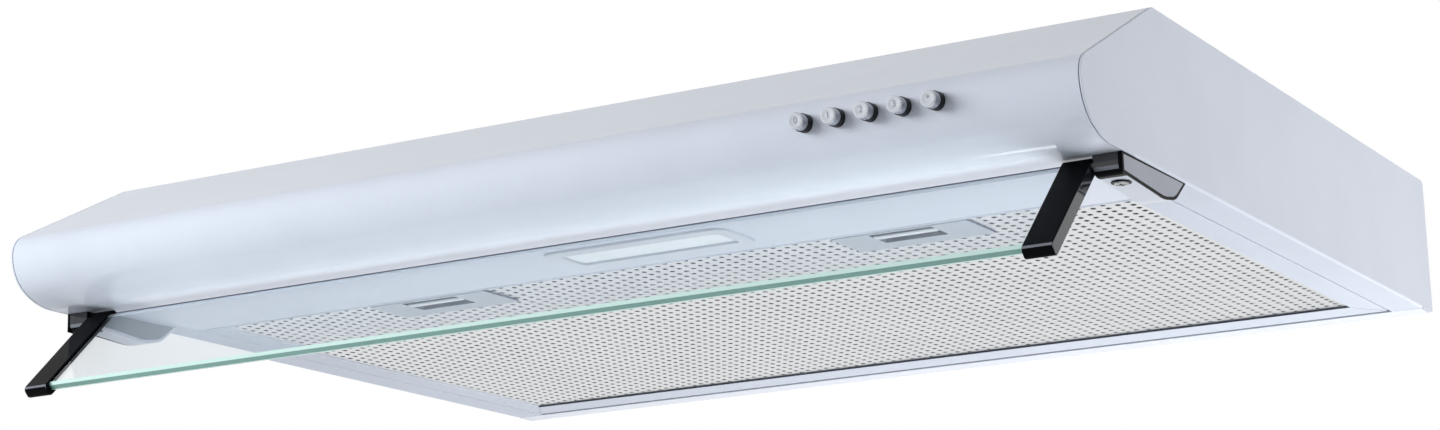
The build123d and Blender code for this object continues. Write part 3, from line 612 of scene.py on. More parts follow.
@dataclass(frozen=True)
class Finish(Substance):
    """One finish: how it was made, and what that gives the eye.

    Attributes:
        shade: sRGB hex colour of its darker patches.
        roughness: mean roughness.
        metallic: one for bare metal.
        mirror: strength of the clear reflection, one half for most plastics.
        coat: weight of a clear top layer.
        thin_coat: weight of that layer above the fade, where it differs.
        fade: heights in millimetres between which the layer thins out.
        coat_roughness: roughness of that layer.
        grain: how the surface was made.
        grain_size: width of one grain in millimetres.
        relief: height of the grain in millimetres.
        spread: how far roughness strays from its mean.
        sheen: weight of the soft edge light on fibres.
        patch: width of a patch of darker colour in millimetres.
        stops: parts of the patches' noise where their two colours are reached.
        brushing: how many times longer than wide a brushed line is.
    """

    shade: str
    roughness: float
    metallic: float = 0.0
    mirror: float = 0.5
    coat: float = 0.0
    thin_coat: float | None = None
    fade: tuple[float, float] = (-50.0, -36.0)
    coat_roughness: float = 0.05
    grain: Grain = Grain.PLAIN
    grain_size: float = 1.0
    relief: float = 0.01
    spread: float = 0.05
    sheen: float = 0.0
    patch: float = 60.0
    stops: tuple[float, float] = (0.32, 0.62)
    brushing: float = 40.0

    def _build(self, tree: Tree) -> None:
        """Fill the node tree with patchy colour and roughness and the grain's relief."""
        place = add_node(tree, "TexCoord").outputs["Object"]
        settings = {"Scale": 1 / (self.patch * MM), "Detail": 3.0, "Roughness": 0.55}
        cloud = add_node(tree, "TexNoise", settings, {"Vector": place}).outputs["Fac"]
        tone = add_node(tree, "ValToRGB", links={"Fac": cloud})
        colours = (self.shade, self.colour)
        for element, stop, colour in zip(tone.color_ramp.elements, self.stops, colours):
            element.position = stop
            element.color = linear(colour)
        height, colour = self._grain(tree, place, tone.outputs["Color"])
        limits = {"To Min": self.roughness - self.spread, "To Max": self.roughness + self.spread}
        rough = add_node(tree, "MapRange", limits, {"Value": cloud})
        depth = {"Strength": 1.0, "Distance": self.relief * MM}
        relief = add_node(tree, "Bump", depth, {"Height": height})
        shader = add_node(
            tree,
            "BsdfPrincipled",
            {
                "Metallic": self.metallic,
                "Specular IOR Level": self.mirror,
                "Coat Weight": self.coat,
                "Coat Roughness": self.coat_roughness,
                "Sheen Weight": self.sheen,
            },
            {
                "Base Color": colour,
                "Roughness": rough.outputs["Result"],
                "Normal": relief.outputs["Normal"],
            },
        )
        if self.thin_coat is not None:
            level = add_node(tree, "SeparateXYZ", links={"Vector": place}).outputs["Z"]
            limits = {"From Min": self.fade[0] * MM, "From Max": self.fade[1] * MM}
            weights = {"To Min": self.coat, "To Max": self.thin_coat}
            layer = add_node(tree, "MapRange", {**limits, **weights}, {"Value": level})
            tree.links.new(layer.outputs["Result"], shader.inputs["Coat Weight"])
        add_node(tree, "OutputMaterial", links={"Surface": shader.outputs["BSDF"]})

    def _grain(self, tree: Tree, place: Socket, colour: Socket) -> tuple[Socket, Socket]:
        """Pattern of the finish at its real scale.

        Args:
            tree: node tree that the pattern is added to.
            place: coordinates of the surface in metres.
            colour: colour of the surface without its pattern.

        Returns:
            The height of the relief and the colour with the pattern in it.
        """
        kind, settings, output, depth = self.grain.value
        scale = 1 / (self.grain_size * MM)
        if self.grain is Grain.PRISM:
            scale = scale / math.tau * 2
        if self.grain is Grain.BRUSHED:
            squeeze = {"Scale": (scale / self.brushing, scale, scale)}
            place = add_node(tree, "Mapping", squeeze, {"Vector": place}).outputs["Vector"]
            scale = 1.0
        texture = add_node(tree, kind, {"Scale": scale, **settings}, {"Vector": place})
        height = texture.outputs[output]
        if self.grain is Grain.SPANGLE:
            height = add_node(tree, "RGBToBW", links={"Color": height}).outputs["Val"]
        return height, self._tint(tree, colour, height, depth)

    def _tint(self, tree: Tree, colour: Socket, amount: Socket, depth: float) -> Socket:
        """Darken a colour a little where a pattern is low.

        Args:
            tree: node tree that the nodes are added to.
            colour: colour of the surface.
            amount: pattern from zero to one.
            depth: how much darker the lowest places are.

        Returns:
            The darkened colour.
        """
        limits = {"To Min": 1 - depth, "To Max": 1 + depth / 4}
        level = add_node(tree, "MapRange", limits, {"Value": amount}).outputs["Result"]
        grey = add_node(tree, "CombineColor", links={"Red": level, "Green": level, "Blue": level})
        mixed = add_node(
            tree,
            "Mix",
            {"data_type": "RGBA", "blend_type": "MULTIPLY", "Factor": 1.0},
            {6: colour, 7: grey.outputs["Color"]},
        )
        return mixed.outputs[2]


@dataclass(frozen=True)
class Glass(Substance):
    """Float glass: clear through its faces, green where light runs along it.

    Attributes:
        roughness: roughness of the surface.
        cover: share of the surface that is ground and scatters light.
        body_colour: colour of the ground share.
        ground_roughness: roughness of the ground share.
        ior: index of refraction.
        ripple: width of a faint wave in the tint, in millimetres.
        dip: how much of the tint is left at the wave's lowest places.
    """

    roughness: float
    cover: float = 0.0
    body_colour: str = "a6cdc3"
    ground_roughness: float = 0.3
    ior: float = 1.52
    ripple: float = 25.0
    dip: float = 0.985

    def _build(self, tree: Tree) -> None:
        """Fill the node tree: a clear shader, partly covered by a ground one."""
        place = add_node(tree, "TexCoord").outputs["Object"]
        settings = {"Scale": 1 / (self.ripple * MM), "Detail": 2.0}
        wave = add_node(tree, "TexNoise", settings, {"Vector": place})
        tone = add_node(tree, "ValToRGB", links={"Fac": wave.outputs["Fac"]})
        pale = linear(self.colour)
        tone.color_ramp.elements[0].color = tuple(self.dip * c for c in pale[:3]) + (1.0,)
        tone.color_ramp.elements[1].color = pale
        clear = add_node(
            tree,
            "BsdfPrincipled",
            {"Roughness": self.roughness, "IOR": self.ior, "Transmission Weight": 1.0},
            {"Base Color": tone.outputs["Color"]},
        )
        body = {"Base Color": linear(self.body_colour), "Roughness": self.ground_roughness}
        ground = add_node(tree, "BsdfPrincipled", {**body, "IOR": self.ior})
        sides = {1: clear.outputs["BSDF"], 2: ground.outputs["BSDF"]}
        mixed = add_node(tree, "MixShader", {"Fac": self.cover}, sides)
        shadow = add_node(tree, "BsdfTransparent", {"Color": pale})
        seen = add_node(
            tree,
            "MixShader",
            links={
                "Fac": add_node(tree, "LightPath").outputs["Is Shadow Ray"],
                1: mixed.outputs["Shader"],
                2: shadow.outputs["BSDF"],
            },
        )
        add_node(tree, "OutputMaterial", links={"Surface": seen.outputs["Shader"]})


# Sheet steel with a light grey baked coat: a soft gloss with a faint orange peel.
# The clear layer is sprayed from below, so it is thin on the slope and the roof.
PAINT = Finish(
    "baked_coat_steel", "painted_steel", "d3d8e2", "cfd4de", 0.42, mirror=0.1, coat=0.6,
    thin_coat=0.4, coat_roughness=0.03, grain=Grain.PEEL, grain_size=1.6, relief=0.002, spread=0.02,
)
# The same paint on the panels behind the nose, baked matt.
FLAT_PAINT = Finish(
    "baked_matt_steel", "painted_steel", "d3d8e2", "cfd4de", 0.5, mirror=0.2, coat=0.15,
    coat_roughness=0.2, grain=Grain.PEEL, grain_size=1.6, relief=0.002, spread=0.02,
)
# The same coat where it faces down: rougher, and darker as painted shade.
UNDER_PAINT_SHADE = Finish(
    "underside_steel_painted_shade", "painted_steel", "c5cad4", "c1c6d0", 0.55, mirror=0.15,
    grain=Grain.PEEL, grain_size=1.2, relief=0.004,
)
# Cut edge of the coated sheet at the seam: bare grey metal, dull, darkened further as painted shade of
# the joint. The same colour is painted shade on the latch plates' right ends.
EDGE_SHADE = Finish(
    "edge_painted_shade", "painted_steel", "767a8a", "707484", 0.6, mirror=0.2, relief=0.004, spread=0.03
)
# The same cut edge, much darker as painted shade where it lies deep at the rear of the grille's
# opening.
DEEP_EDGE_SHADE = Finish(
    "cut_edge_painted_deep_shade", "painted_steel", "4d515d", "484c58", 0.6, mirror=0.2, relief=0.004,
    spread=0.03,
)
# Zinc-coated sheet inside the hood: crystal patches that catch the light differently.
ZINC = Finish(
    "galvanised_sheet", "galvanised_steel", "b9bec2", "a4aaaf", 0.38, metallic=1.0,
    grain=Grain.SPANGLE, grain_size=7.0, spread=0.08,
)
# Thin aluminium, slit and stretched: bright, slightly milky from rolling.
ALUMINIUM = Finish(
    "stretched_aluminium", "aluminium_mesh", "fafbfc", "f4f6f8", 0.4, metallic=1.0,
    grain=Grain.BRUSHED, grain_size=0.6, relief=0.004,
)
# Where its strands meet: the same aluminium, brighter as painted highlight.
BOND_HIGHLIGHT = Finish(
    "aluminium_painted_highlight", "aluminium_mesh", "fbfcfd", "f8f9fa", 0.3, metallic=1.0,
    grain=Grain.BRUSHED, grain_size=0.6, relief=0.004,
)
# Acrylonitrile plastic from a polished mould: black with sharp highlights.
GLOSS_BLACK = Finish(
    "polished_black_abs", "black_plastic", "08090c", "050608", 0.12, mirror=0.03, grain_size=9.0,
    relief=0.004, spread=0.03,
)
# The same plastic, glossy, in a lighter black as painted reflection, on the outer sides of the arms and
# the caps' fronts.
BLACK_PAINTED_REFLECTION = Finish(
    "glossy_black_abs_painted_reflection", "black_plastic", "1e2127", "191c22", 0.08, mirror=0.6, relief=0.002,
    spread=0.03,
)
# Rounded edges of the same mouldings: pale grey as painted highlight.
HIGHLIGHT_GREY = Finish(
    "black_abs_painted_highlight", "black_plastic", "6c7078", "656971", 0.2, relief=0.002, spread=0.03
)
# The hinge housings' side plates: mid grey with a fine spark-eroded texture.
PLATE_GREY = Finish(
    "textured_grey_abs", "grey_plastic", "989ca7", "8f939e", 0.36, grain=Grain.SPARK,
    grain_size=0.5, relief=0.008, spread=0.04,
)
# The lamp's frame: the same grey as the paint, moulded satin.
FRAME_GREY = Finish(
    "satin_frame_abs", "grey_plastic", "c8cdd5", "c2c7d0", 0.34, grain=Grain.SPARK,
    grain_size=0.7, relief=0.006, spread=0.03,
)
# Latch plates: cool grey satin moulding, a little darker than the paint.
LATCH_GREY = Finish(
    "satin_latch_abs", "latch_plastic", "a9b1bb", "a2aab4", 0.33, grain=Grain.SPARK,
    grain_size=0.6, relief=0.008, spread=0.04,
)
# Inside of the finger slots, and the ribs above their feet: latch plastic, matt, and darker as painted
# shade.
SLOT_SHADE = Finish(
    "matt_slot_abs_painted_shade", "latch_plastic", "5e636b", "555a61", 0.6, grain=Grain.SPARK, grain_size=0.8
)
# Finger ribs: brighter than the plates, rubbed smooth.
RIB_GREY = Finish(
    "polished_rib_abs", "latch_plastic", "dfe3e8", "d8dce2", 0.25, grain_size=3.0, relief=0.004,
    spread=0.03,
)
# Buttons: silver-grey moulding with a glossy skin.
BUTTON_SILVER = Finish(
    "silver_grey_abs", "button_plastic", "c9cdd2", "c0c4ca", 0.22, metallic=0.25, coat=0.3,
    coat_roughness=0.08, grain_size=2.0, relief=0.003, spread=0.03,
)
# Printed figures on the buttons: grey ink.
GLYPH_GREY = Finish(
    "grey_ink", "button_plastic", "83888f", "7c8188", 0.35, relief=0.002, spread=0.03
)
# Sides of the buttons: the same plastic with a plated skin, darker as painted shade.
BARREL_SHADE = Finish(
    "plated_barrel_painted_shade", "button_plastic", "a9adb5", "a0a4ac", 0.25, metallic=0.6, relief=0.002,
    spread=0.04,
)
# Sleeves that the buttons slide in: dark moulding, dull.
SOCKET_BLACK = Finish(
    "dark_sleeve_abs", "button_plastic", "101318", "0d1014", 0.4, mirror=0.15, relief=0.002,
    spread=0.03,
)
# Hinge housings: pale moulding under the flange.
HINGE_GREY = Finish(
    "moulded_grey_abs", "grey_plastic", "c6cad4", "bdc2cc", 0.3, grain=Grain.SPARK,
    grain_size=0.6, relief=0.006, spread=0.04,
)
# Inner side plates of the hinges: a darker green-grey.
INNER_GREY = Finish(
    "textured_dark_grey_abs", "grey_plastic", "7f868c", "777e84", 0.4, grain=Grain.SPARK,
    grain_size=0.5, relief=0.008, spread=0.04,
)
# Unpainted white polypropylene: duct ring, flaps and covers.
WHITE_PP = Finish(
    "white_polypropylene", "white_plastic", "e9eaea", "e1e2e2", 0.42, grain_size=5.0, relief=0.02
)
# Fan casing and wheel: charcoal glass-filled plastic, dull and faintly mottled.
FAN_GREY = Finish(
    "glass_filled_nylon", "fan_plastic", "3a3d40", "303336", 0.5, grain_size=1.2, relief=0.02,
    spread=0.08,
)
# Frosted acrylic over the lamp, with fine ribs that spread the light.
LENS = Finish(
    "ribbed_acrylic", "lens_plastic", "eff3f6", "eaeff2", 0.3, mirror=0.3, grain=Grain.PRISM,
    grain_size=2.0, relief=0.03, spread=0.03,
)
# Needled fleece of off-white fibres: soft, dull and fuzzy at its edges.
FLEECE = Finish(
    "needled_fleece", "filter_fleece", "e6e8ea", "dddfe1", 0.95, grain=Grain.FIBRE,
    grain_size=1.5, relief=0.4, spread=0.04, sheen=0.5,
)
# Screws: bright zinc plate.
SCREW = Finish(
    "bright_zinc_plate", "screw_steel", "c2c4c6", "aaadb0", 0.25, metallic=1.0,
    grain=Grain.BRUSHED, grain_size=0.3, relief=0.003, spread=0.08,
)
# Plain steel of the motor can and shaft: rolled, with a light oil film.
MOTOR_STEEL = Finish(
    "oiled_steel", "motor_steel", "8f9397", "7c8084", 0.32, metallic=1.0, grain=Grain.BRUSHED,
    grain_size=0.6, relief=0.004, spread=0.1,
)
# Lamp board: white solder mask over copper.
BOARD = Finish(
    "white_solder_mask", "circuit_board", "eef1ec", "e2e6e0", 0.3, coat=0.2, grain_size=3.0,
    spread=0.04,
)
# Faces of the pane: float glass, nearly colourless through its thickness.
GLASS = Glass("float_glass_face", "glass", "f1f5f7", 0.0)
# Ground edges of the pane: light leaves here after a long way through the glass.
GLASS_EDGE = Glass("float_glass_edge", "glass", "a0cdc1", 0.15, cover=0.8, body_colour="7ba59a")
# Ground bevels on both sides of that edge: thinner glass, so a paler green.
GLASS_BEVEL = Glass("float_glass_bevel", "glass", "c4e4db", 0.2, cover=0.9, body_colour="c6e3db")
# Upper edge of the pane, with grey foam tape against the hood.
GLASS_TOP = Glass("float_glass_taped", "glass", "c6ccd4", 0.3, cover=1.0, body_colour="a9b0ba")


@dataclass
class Path:
    """Course in Y and Z that an edge is bent along, or a point is drawn along.

    Attributes:
        piece: piece in edit mode whose end is selected.
        y: place of the end, rearwards.
        z: place of the end, upwards.
        heading: direction in degrees, 0 rearwards and 90 upwards.
        fineness: largest turn of one flat step in a bend, in degrees.
        fewest: least number of steps in a bend.
    """

    piece: Piece
    y: float
    z: float
    heading: float = 0.0
    fineness: float = 3.0
    fewest: int = 3

    def start(self) -> Path:
        """Select the whole of the piece, which is only its first end."""
        bpy.ops.mesh.select_mode(type="VERT")
        self.piece.take_all()
        return self

    def run(self, length: float) -> Path:
        """Carry on straight.

        Args:
            length: how far.

        Returns:
            This path.
        """
        angle = math.radians(self.heading)
        step = (length * math.cos(angle), length * math.sin(angle))
        self.piece.extrude((0, *step))
        self.y += step[0]
        self.z += step[1]
        return self

    def turn(self, angle: float) -> Path:
        """Change direction at once, leaving a sharp fold."""
        self.heading += angle
        return self

    def bend(self, radius: float, angle: float) -> Path:
        """Follow an arc.

        Args:
            radius: radius of the arc.
            angle: turn in degrees, positive from rearwards to upwards.

        Returns:
            This path.
        """
        side = math.copysign(1, angle)
        across = math.radians(self.heading + side * 90)
        centre = (self.y + radius * math.cos(across), self.z + radius * math.sin(across))
        steps = max(self.fewest, math.ceil(abs(angle) / self.fineness))
        self.piece.spin(angle, (0, *centre), (1, 0, 0), steps)
        self.heading += angle
        away = math.radians(self.heading - side * 90)
        self.y = centre[0] + radius * math.cos(away)
        self.z = centre[1] + radius * math.sin(away)
        return self


def slab(
    name: str, middle: Point, size: Point, low: float, high: float, corner: float, segments: int = 6
) -> Piece:
    """Flat plate with round corners seen from above.

    Args:
        name: name of the piece.
        middle: centre in X and Y.
        size: length in X and width in Y.
        low: height of the lower face.
        high: height of the upper face.
        corner: radius of the corners.
        segments: flat steps round each corner.

    Returns:
        The new piece.
    """
    x, y = middle
    depth = (y - size[1] / 2, y + size[1] / 2)
    plate = Piece.centred(name, x, size[0] / 2, depth, (low, high))
    return plate.round_edges(upright, corner, segments)


@dataclass(frozen=True)
class Body:
    """Sizes of the sheet-metal body that several sub-assemblies share."""

    width: float = 600.0
    depth: float = 488.0
    height: float = 75.5
    front_reach: float = 290.0
    sheet: float = 1.0
    gap: float = 0.35
    joint: float = 3.0
    rear_bend: float = 2.5
    rear_step: float = 15.0
    crease_radius: float = 5.0
    roof_setback: float = 86.0
    nose_rise: float = 24.5
    brow_radius: float = 12.0
    chin_radius: float = 22.0
    chin_sweep: float = 60.0
    seam_setback: float = 56.0
    side_flange: float = 18.0
    rear_flange: float = 17.0

    @property
    def front(self) -> float:
        """Y of the nose."""
        return -self.front_reach

    @property
    def rear(self) -> float:
        """Y of the rear wall's outer face."""
        return self.front + self.depth

    @property
    def under(self) -> float:
        """Z of the underside."""
        return -self.height

    @property
    def half(self) -> float:
        """Half of the width."""
        return self.width / 2

    @property
    def seam(self) -> float:
        """Y of the seam between the nose and the front strip."""
        return self.front + self.seam_setback

    @property
    def flange_front(self) -> float:
        """Y of the rear flange's front edge."""
        return self.rear - self.rear_flange

    @property
    def flange_half(self) -> float:
        """Half of the width between the side flanges."""
        return self.half - self.side_flange

    @property
    def slope(self) -> float:
        """Fall of the roof slope, in degrees."""
        run = self.roof_setback - self.brow_radius
        climb = self.height - self.nose_rise
        lean = math.acos(self.brow_radius / math.hypot(run, climb))
        return math.degrees(math.atan2(climb, run) + lean) - 90

    @property
    def sole_radius(self) -> float:
        """Radius of the last arc of the nose, flat on the underside."""
        sweep = math.sin(math.radians(self.chin_sweep))
        return (self.nose_rise - self.chin_radius * sweep) / (1 - sweep)

    def wrap(self, path: Path) -> None:
        """Bend a path up the rear wall, over the roof and round the nose.

        Args:
            path: course on the underside, heading rearwards.
        """
        path.run(self.rear - self.rear_bend - path.y)
        fineness = path.fineness
        path.fineness = self.rear_step
        path.bend(self.rear_bend, 90).run(self.height - 2 * self.rear_bend)
        path.bend(self.rear_bend, 90)
        path.fineness = fineness
        slope = math.radians(self.slope)
        corner = self.crease_radius * math.tan(slope / 2)
        path.run(path.y - (self.front + self.roof_setback + corner))
        path.bend(self.crease_radius, self.slope)
        foot = self.brow_radius * math.cos(slope) - self.height + self.nose_rise
        path.run((path.z - foot) / math.sin(slope))
        path.bend(self.brow_radius, 90 - self.slope)
        path.bend(self.chin_radius, self.chin_sweep)
        path.bend(self.sole_radius, 90 - self.chin_sweep)


@dataclass
class Canopy:
    """Main bent sheet: rear flange, rear wall, roof, slope and rolled nose."""

    body: Body
    buttons: Buttons
    fixing_half_x: float = 250.0
    fixing_half_y: float = 130.0
    fixing_radius: float = 2.75
    duct: Point = (0.0, 85.0, 60.0)
    gland: Point = (215.0, 145.0, 6.8)
    drill_depth: float = 3.0
    burr: float = 0.25

    def build(self) -> None:
        """Bend the sheet, thicken it and drill it."""
        body = self.body
        half = body.half - body.sheet - body.gap
        start = (-half, body.flange_front, body.under)
        shell = Piece.edge("canopy_sheet", start, (half, *start[1:]))
        with shell.editing():
            path = Path(shell, body.flange_front, body.under).start()
            body.wrap(path)
            path.run(body.seam - body.joint / 2 - path.y)
        shell.outward()
        shell.face_up(lambda at, normal: abs(at.z) < NEAR and faces_down(at, normal))
        shell.thicken(body.sheet).soften(self.burr)
        holes = [
            (x * self.fixing_half_x, y * self.fixing_half_y, self.fixing_radius)
            for x in (-1, 1)
            for y in (-1, 1)
        ]
        for x, y, radius in [*holes, self.duct, self.gland]:
            shell.cut(Piece.rod("drill", (x, y, -self.drill_depth), (x, y, CLEAR), radius))
        for index in range(self.buttons.count):
            shell.cut(self.buttons.drill(index))
        shell.smooth().dress(PAINT, "root", "canopy_shell")


@dataclass
class SidePanels:
    """End panels: a flat cheek with a flange bent in under the hood."""

    body: Body
    bend: float = 1.5
    bend_steps: int = 5
    burr: float = 0.3
    top_flange: float = 16.0
    lap: float = 0.1
    film: float = 0.02
    ear_y: float = 177.0
    ear_z: float = -72.5
    ear_front: float = 5.0
    ear_rear: float = 4.0
    ear_thickness: float = 1.2
    ear_height: float = 6.0
    pin_radius: float = 1.55
    bore_depth: float = 3.0

    def build(self) -> None:
        """Make the right-hand panel and mirror it."""
        body = self.body
        last = body.flange_front - body.gap
        flat = body.under + self.bend
        cheek = Piece.dot("side_cheek_right", (body.half, last, body.under))
        with cheek.editing():
            path = Path(cheek, last, body.under).start()
            body.wrap(path)
            path.run(body.seam + body.gap - path.y).turn(90).run(self.bend)
            path.turn(-90).run(last - path.y)
            cheek.take_all()
            bpy.ops.mesh.edge_face_add()
            cheek.pick(Pick.EDGES, lambda at, way: abs(at.z - flat) < NEAR and abs(way.y) > SQUARE)
            cheek.spin(90, (body.half - self.bend, 0, flat), (0, 1, 0), self.bend_steps)
            cheek.extrude((self.bend - body.side_flange, 0, 0))
        cheek.outward()
        cheek.face_up(lambda at, normal: at.x > body.half - NEAR and normal.x < -ALONG)
        cheek.thicken(body.sheet).soften(self.burr)
        cheek.join(*self._inner_flanges())
        start = (body.flange_half - CLEAR, self.ear_y, self.ear_z)
        end = (body.flange_half + self.bore_depth, *start[1:])
        cheek.cut(Piece.rod("pin_bore", start, end, self.pin_radius, BORE_SIDES)).smooth()
        twin = cheek.mirrored("side_cheek_left")
        for panel, side in ((cheek, "right"), (twin, "left")):
            panel.dress(FLAT_PAINT, "root", f"side_panel_{side}")
            # Painted shade: faces that look down get a darker copy of the paint.
            panel.second(UNDER_PAINT_SHADE, faces_down)

    def _inner_flanges(self) -> list[Piece]:
        """Flanges under the roof and behind the rear wall, and the grille's ear."""
        body = self.body
        sheet = body.sheet
        inner = body.half - self.top_flange
        deep = body.half - (1 - self.lap) * sheet
        roof_front = body.front + body.roof_setback + body.crease_radius
        roof_rear = body.rear - body.rear_bend - sheet
        low = body.under + sheet
        off = (1 + self.film) * sheet
        spans = {
            "roof_flange": ((inner, roof_front, -2 * sheet), (deep, roof_rear, -off)),
            "rear_flange": (
                (inner, body.rear - 2 * sheet, low + body.rear_bend),
                (deep, body.rear - off, -body.rear_bend - sheet),
            ),
            "grille_ear": (
                (body.flange_half, self.ear_y - self.ear_front, low - self.lap * sheet),
                (
                    body.flange_half + self.ear_thickness,
                    self.ear_y + self.ear_rear,
                    body.under + self.ear_height,
                ),
            ),
        }
        return [Piece.box(name, *corners) for name, corners in spans.items()]


@dataclass
class FrontStrip:
    """Front strip of the underside, joggled over the nose's lower edge."""

    body: Body
    lamp: Lamp
    latches: Latches
    rear_setback: float = 131.0
    lip: float = 10.0
    wall: float = 12.0
    fold: float = 1.0
    fold_step: float = 12.0
    burr: float = 0.2
    keeper_half: float = 7.0
    keeper_depth: float = 3.0
    keeper_low: float = 2.0
    keeper_high: float = 6.0

    def build(self) -> None:
        """Fold the strip and cut the lamp's window and the latch keepers."""
        body = self.body
        half = body.flange_half - body.gap
        rear = body.front + self.rear_setback
        first = body.seam - self.lip
        start = (-half, first, body.under + body.sheet)
        strip = Piece.edge("front_strip", start, (half, *start[1:]))
        with strip.editing():
            path = Path(strip, first, start[2], fineness=self.fold_step).start()
            path.run(self.lip + body.joint / 2).turn(-90).run(body.sheet).turn(90)
            path.run(rear - self.fold - path.y).bend(self.fold, 90)
            path.run(self.wall - self.fold)
        strip.outward()
        strip.face_up(lambda at, normal: abs(at.z - body.under) < NEAR and normal.z > ALONG)
        strip.thicken(body.sheet).soften(self.burr)
        strip.cut(self.lamp.window())
        depth = (rear - self.keeper_depth, rear + CLEAR)
        height = (body.under + self.keeper_low, body.under + self.keeper_high)
        for x in self.latches.places:
            strip.cut(Piece.centred("keeper", x, self.keeper_half, depth, height))
        strip.smooth().dress(FLAT_PAINT, "root", "lamp_panel")
        # The strip's cut edge at the seam: bare metal, with painted shade of the joint.
        strip.second(
            EDGE_SHADE, lambda at, normal: normal.y < -ASIDE and abs(at.y - body.seam) < body.joint
        )


@dataclass
class Lamp:
    """Lamp window in the front strip: its frame and the frosted lens in it."""

    body: Body
    x: float = 28.0
    setback: float = 98.5
    length: float = 104.0
    width: float = 40.0
    corner: float = 8.0
    corner_steps: int = 10
    edge: float = 0.9
    proud: float = 1.2
    burr: float = 0.12
    collar_inset: float = 4.0
    collar_corner: float = 2.5
    collar_height: float = 4.0
    lap: float = 0.1
    play: float = 0.2
    lens_length: float = 90.0
    lens_width: float = 23.0
    lens_corner: float = 2.3
    lens_edge: float = 0.35
    lens_thickness: float = 2.2
    lens_drop: float = 0.1
    ledge: float = 2.0

    def _slab(
        self, name: str, size: Point, inset: float, height: Point, corner: float, segments: int = 6
    ) -> Piece:
        """Flat plate round the lamp's middle.

        Args:
            name: name of the piece.
            size: length and width of an outline.
            inset: how far inside that outline the plate stays.
            height: Z of the lower and upper faces.
            corner: radius of the corners.
            segments: flat steps round each of them.

        Returns:
            The new piece.
        """
        middle = (self.x, self.body.front + self.setback)
        inside = (size[0] - 2 * inset, size[1] - 2 * inset)
        return slab(name, middle, inside, *height, corner, segments)

    def window(self) -> Piece:
        """Cutter for the hole that the lamp's collar passes through."""
        low = self.body.under - CLEAR
        inset = self.collar_inset - self.play
        height = (low, low + self.collar_height)
        return self._slab("window", (self.length, self.width), inset, height, self.collar_corner)

    def build(self) -> None:
        """Make the frame and the lens."""
        under = self.body.under
        low = under - self.lens_drop
        high = low + self.lens_thickness
        outer = (self.length, self.width)
        pocket = (self.lens_length, self.lens_width)
        corner = self.collar_corner
        collar_span = (under - self.lap, under + self.collar_height)
        pocket_span = (under - 2 * CLEAR, high)
        opening_span = (under, under + self.collar_height + 2 * CLEAR)
        frame_span = (under - self.proud, under)
        frame = self._slab("lamp_frame", outer, 0.0, frame_span, self.corner, self.corner_steps)
        frame.round_edges(round_foot(under - self.proud), self.edge, 5)
        frame.fuse(self._slab("collar", outer, self.collar_inset, collar_span, corner))
        frame.cut(self._slab("pocket", pocket, 0.0, pocket_span, corner))
        frame.cut(self._slab("opening", pocket, self.ledge, opening_span, corner))
        frame.soften(self.burr, segments=1, angle=60.0).smooth()
        frame.dress(FRAME_GREY, "root", "lamp_bezel")
        lens = self._slab("lamp_lens_ribbed", pocket, self.play, (low, high), self.lens_corner)
        lens.round_edges(round_foot(low), self.lens_edge, 3)
        lens.smooth().dress(LENS, "root", "lamp_lens")


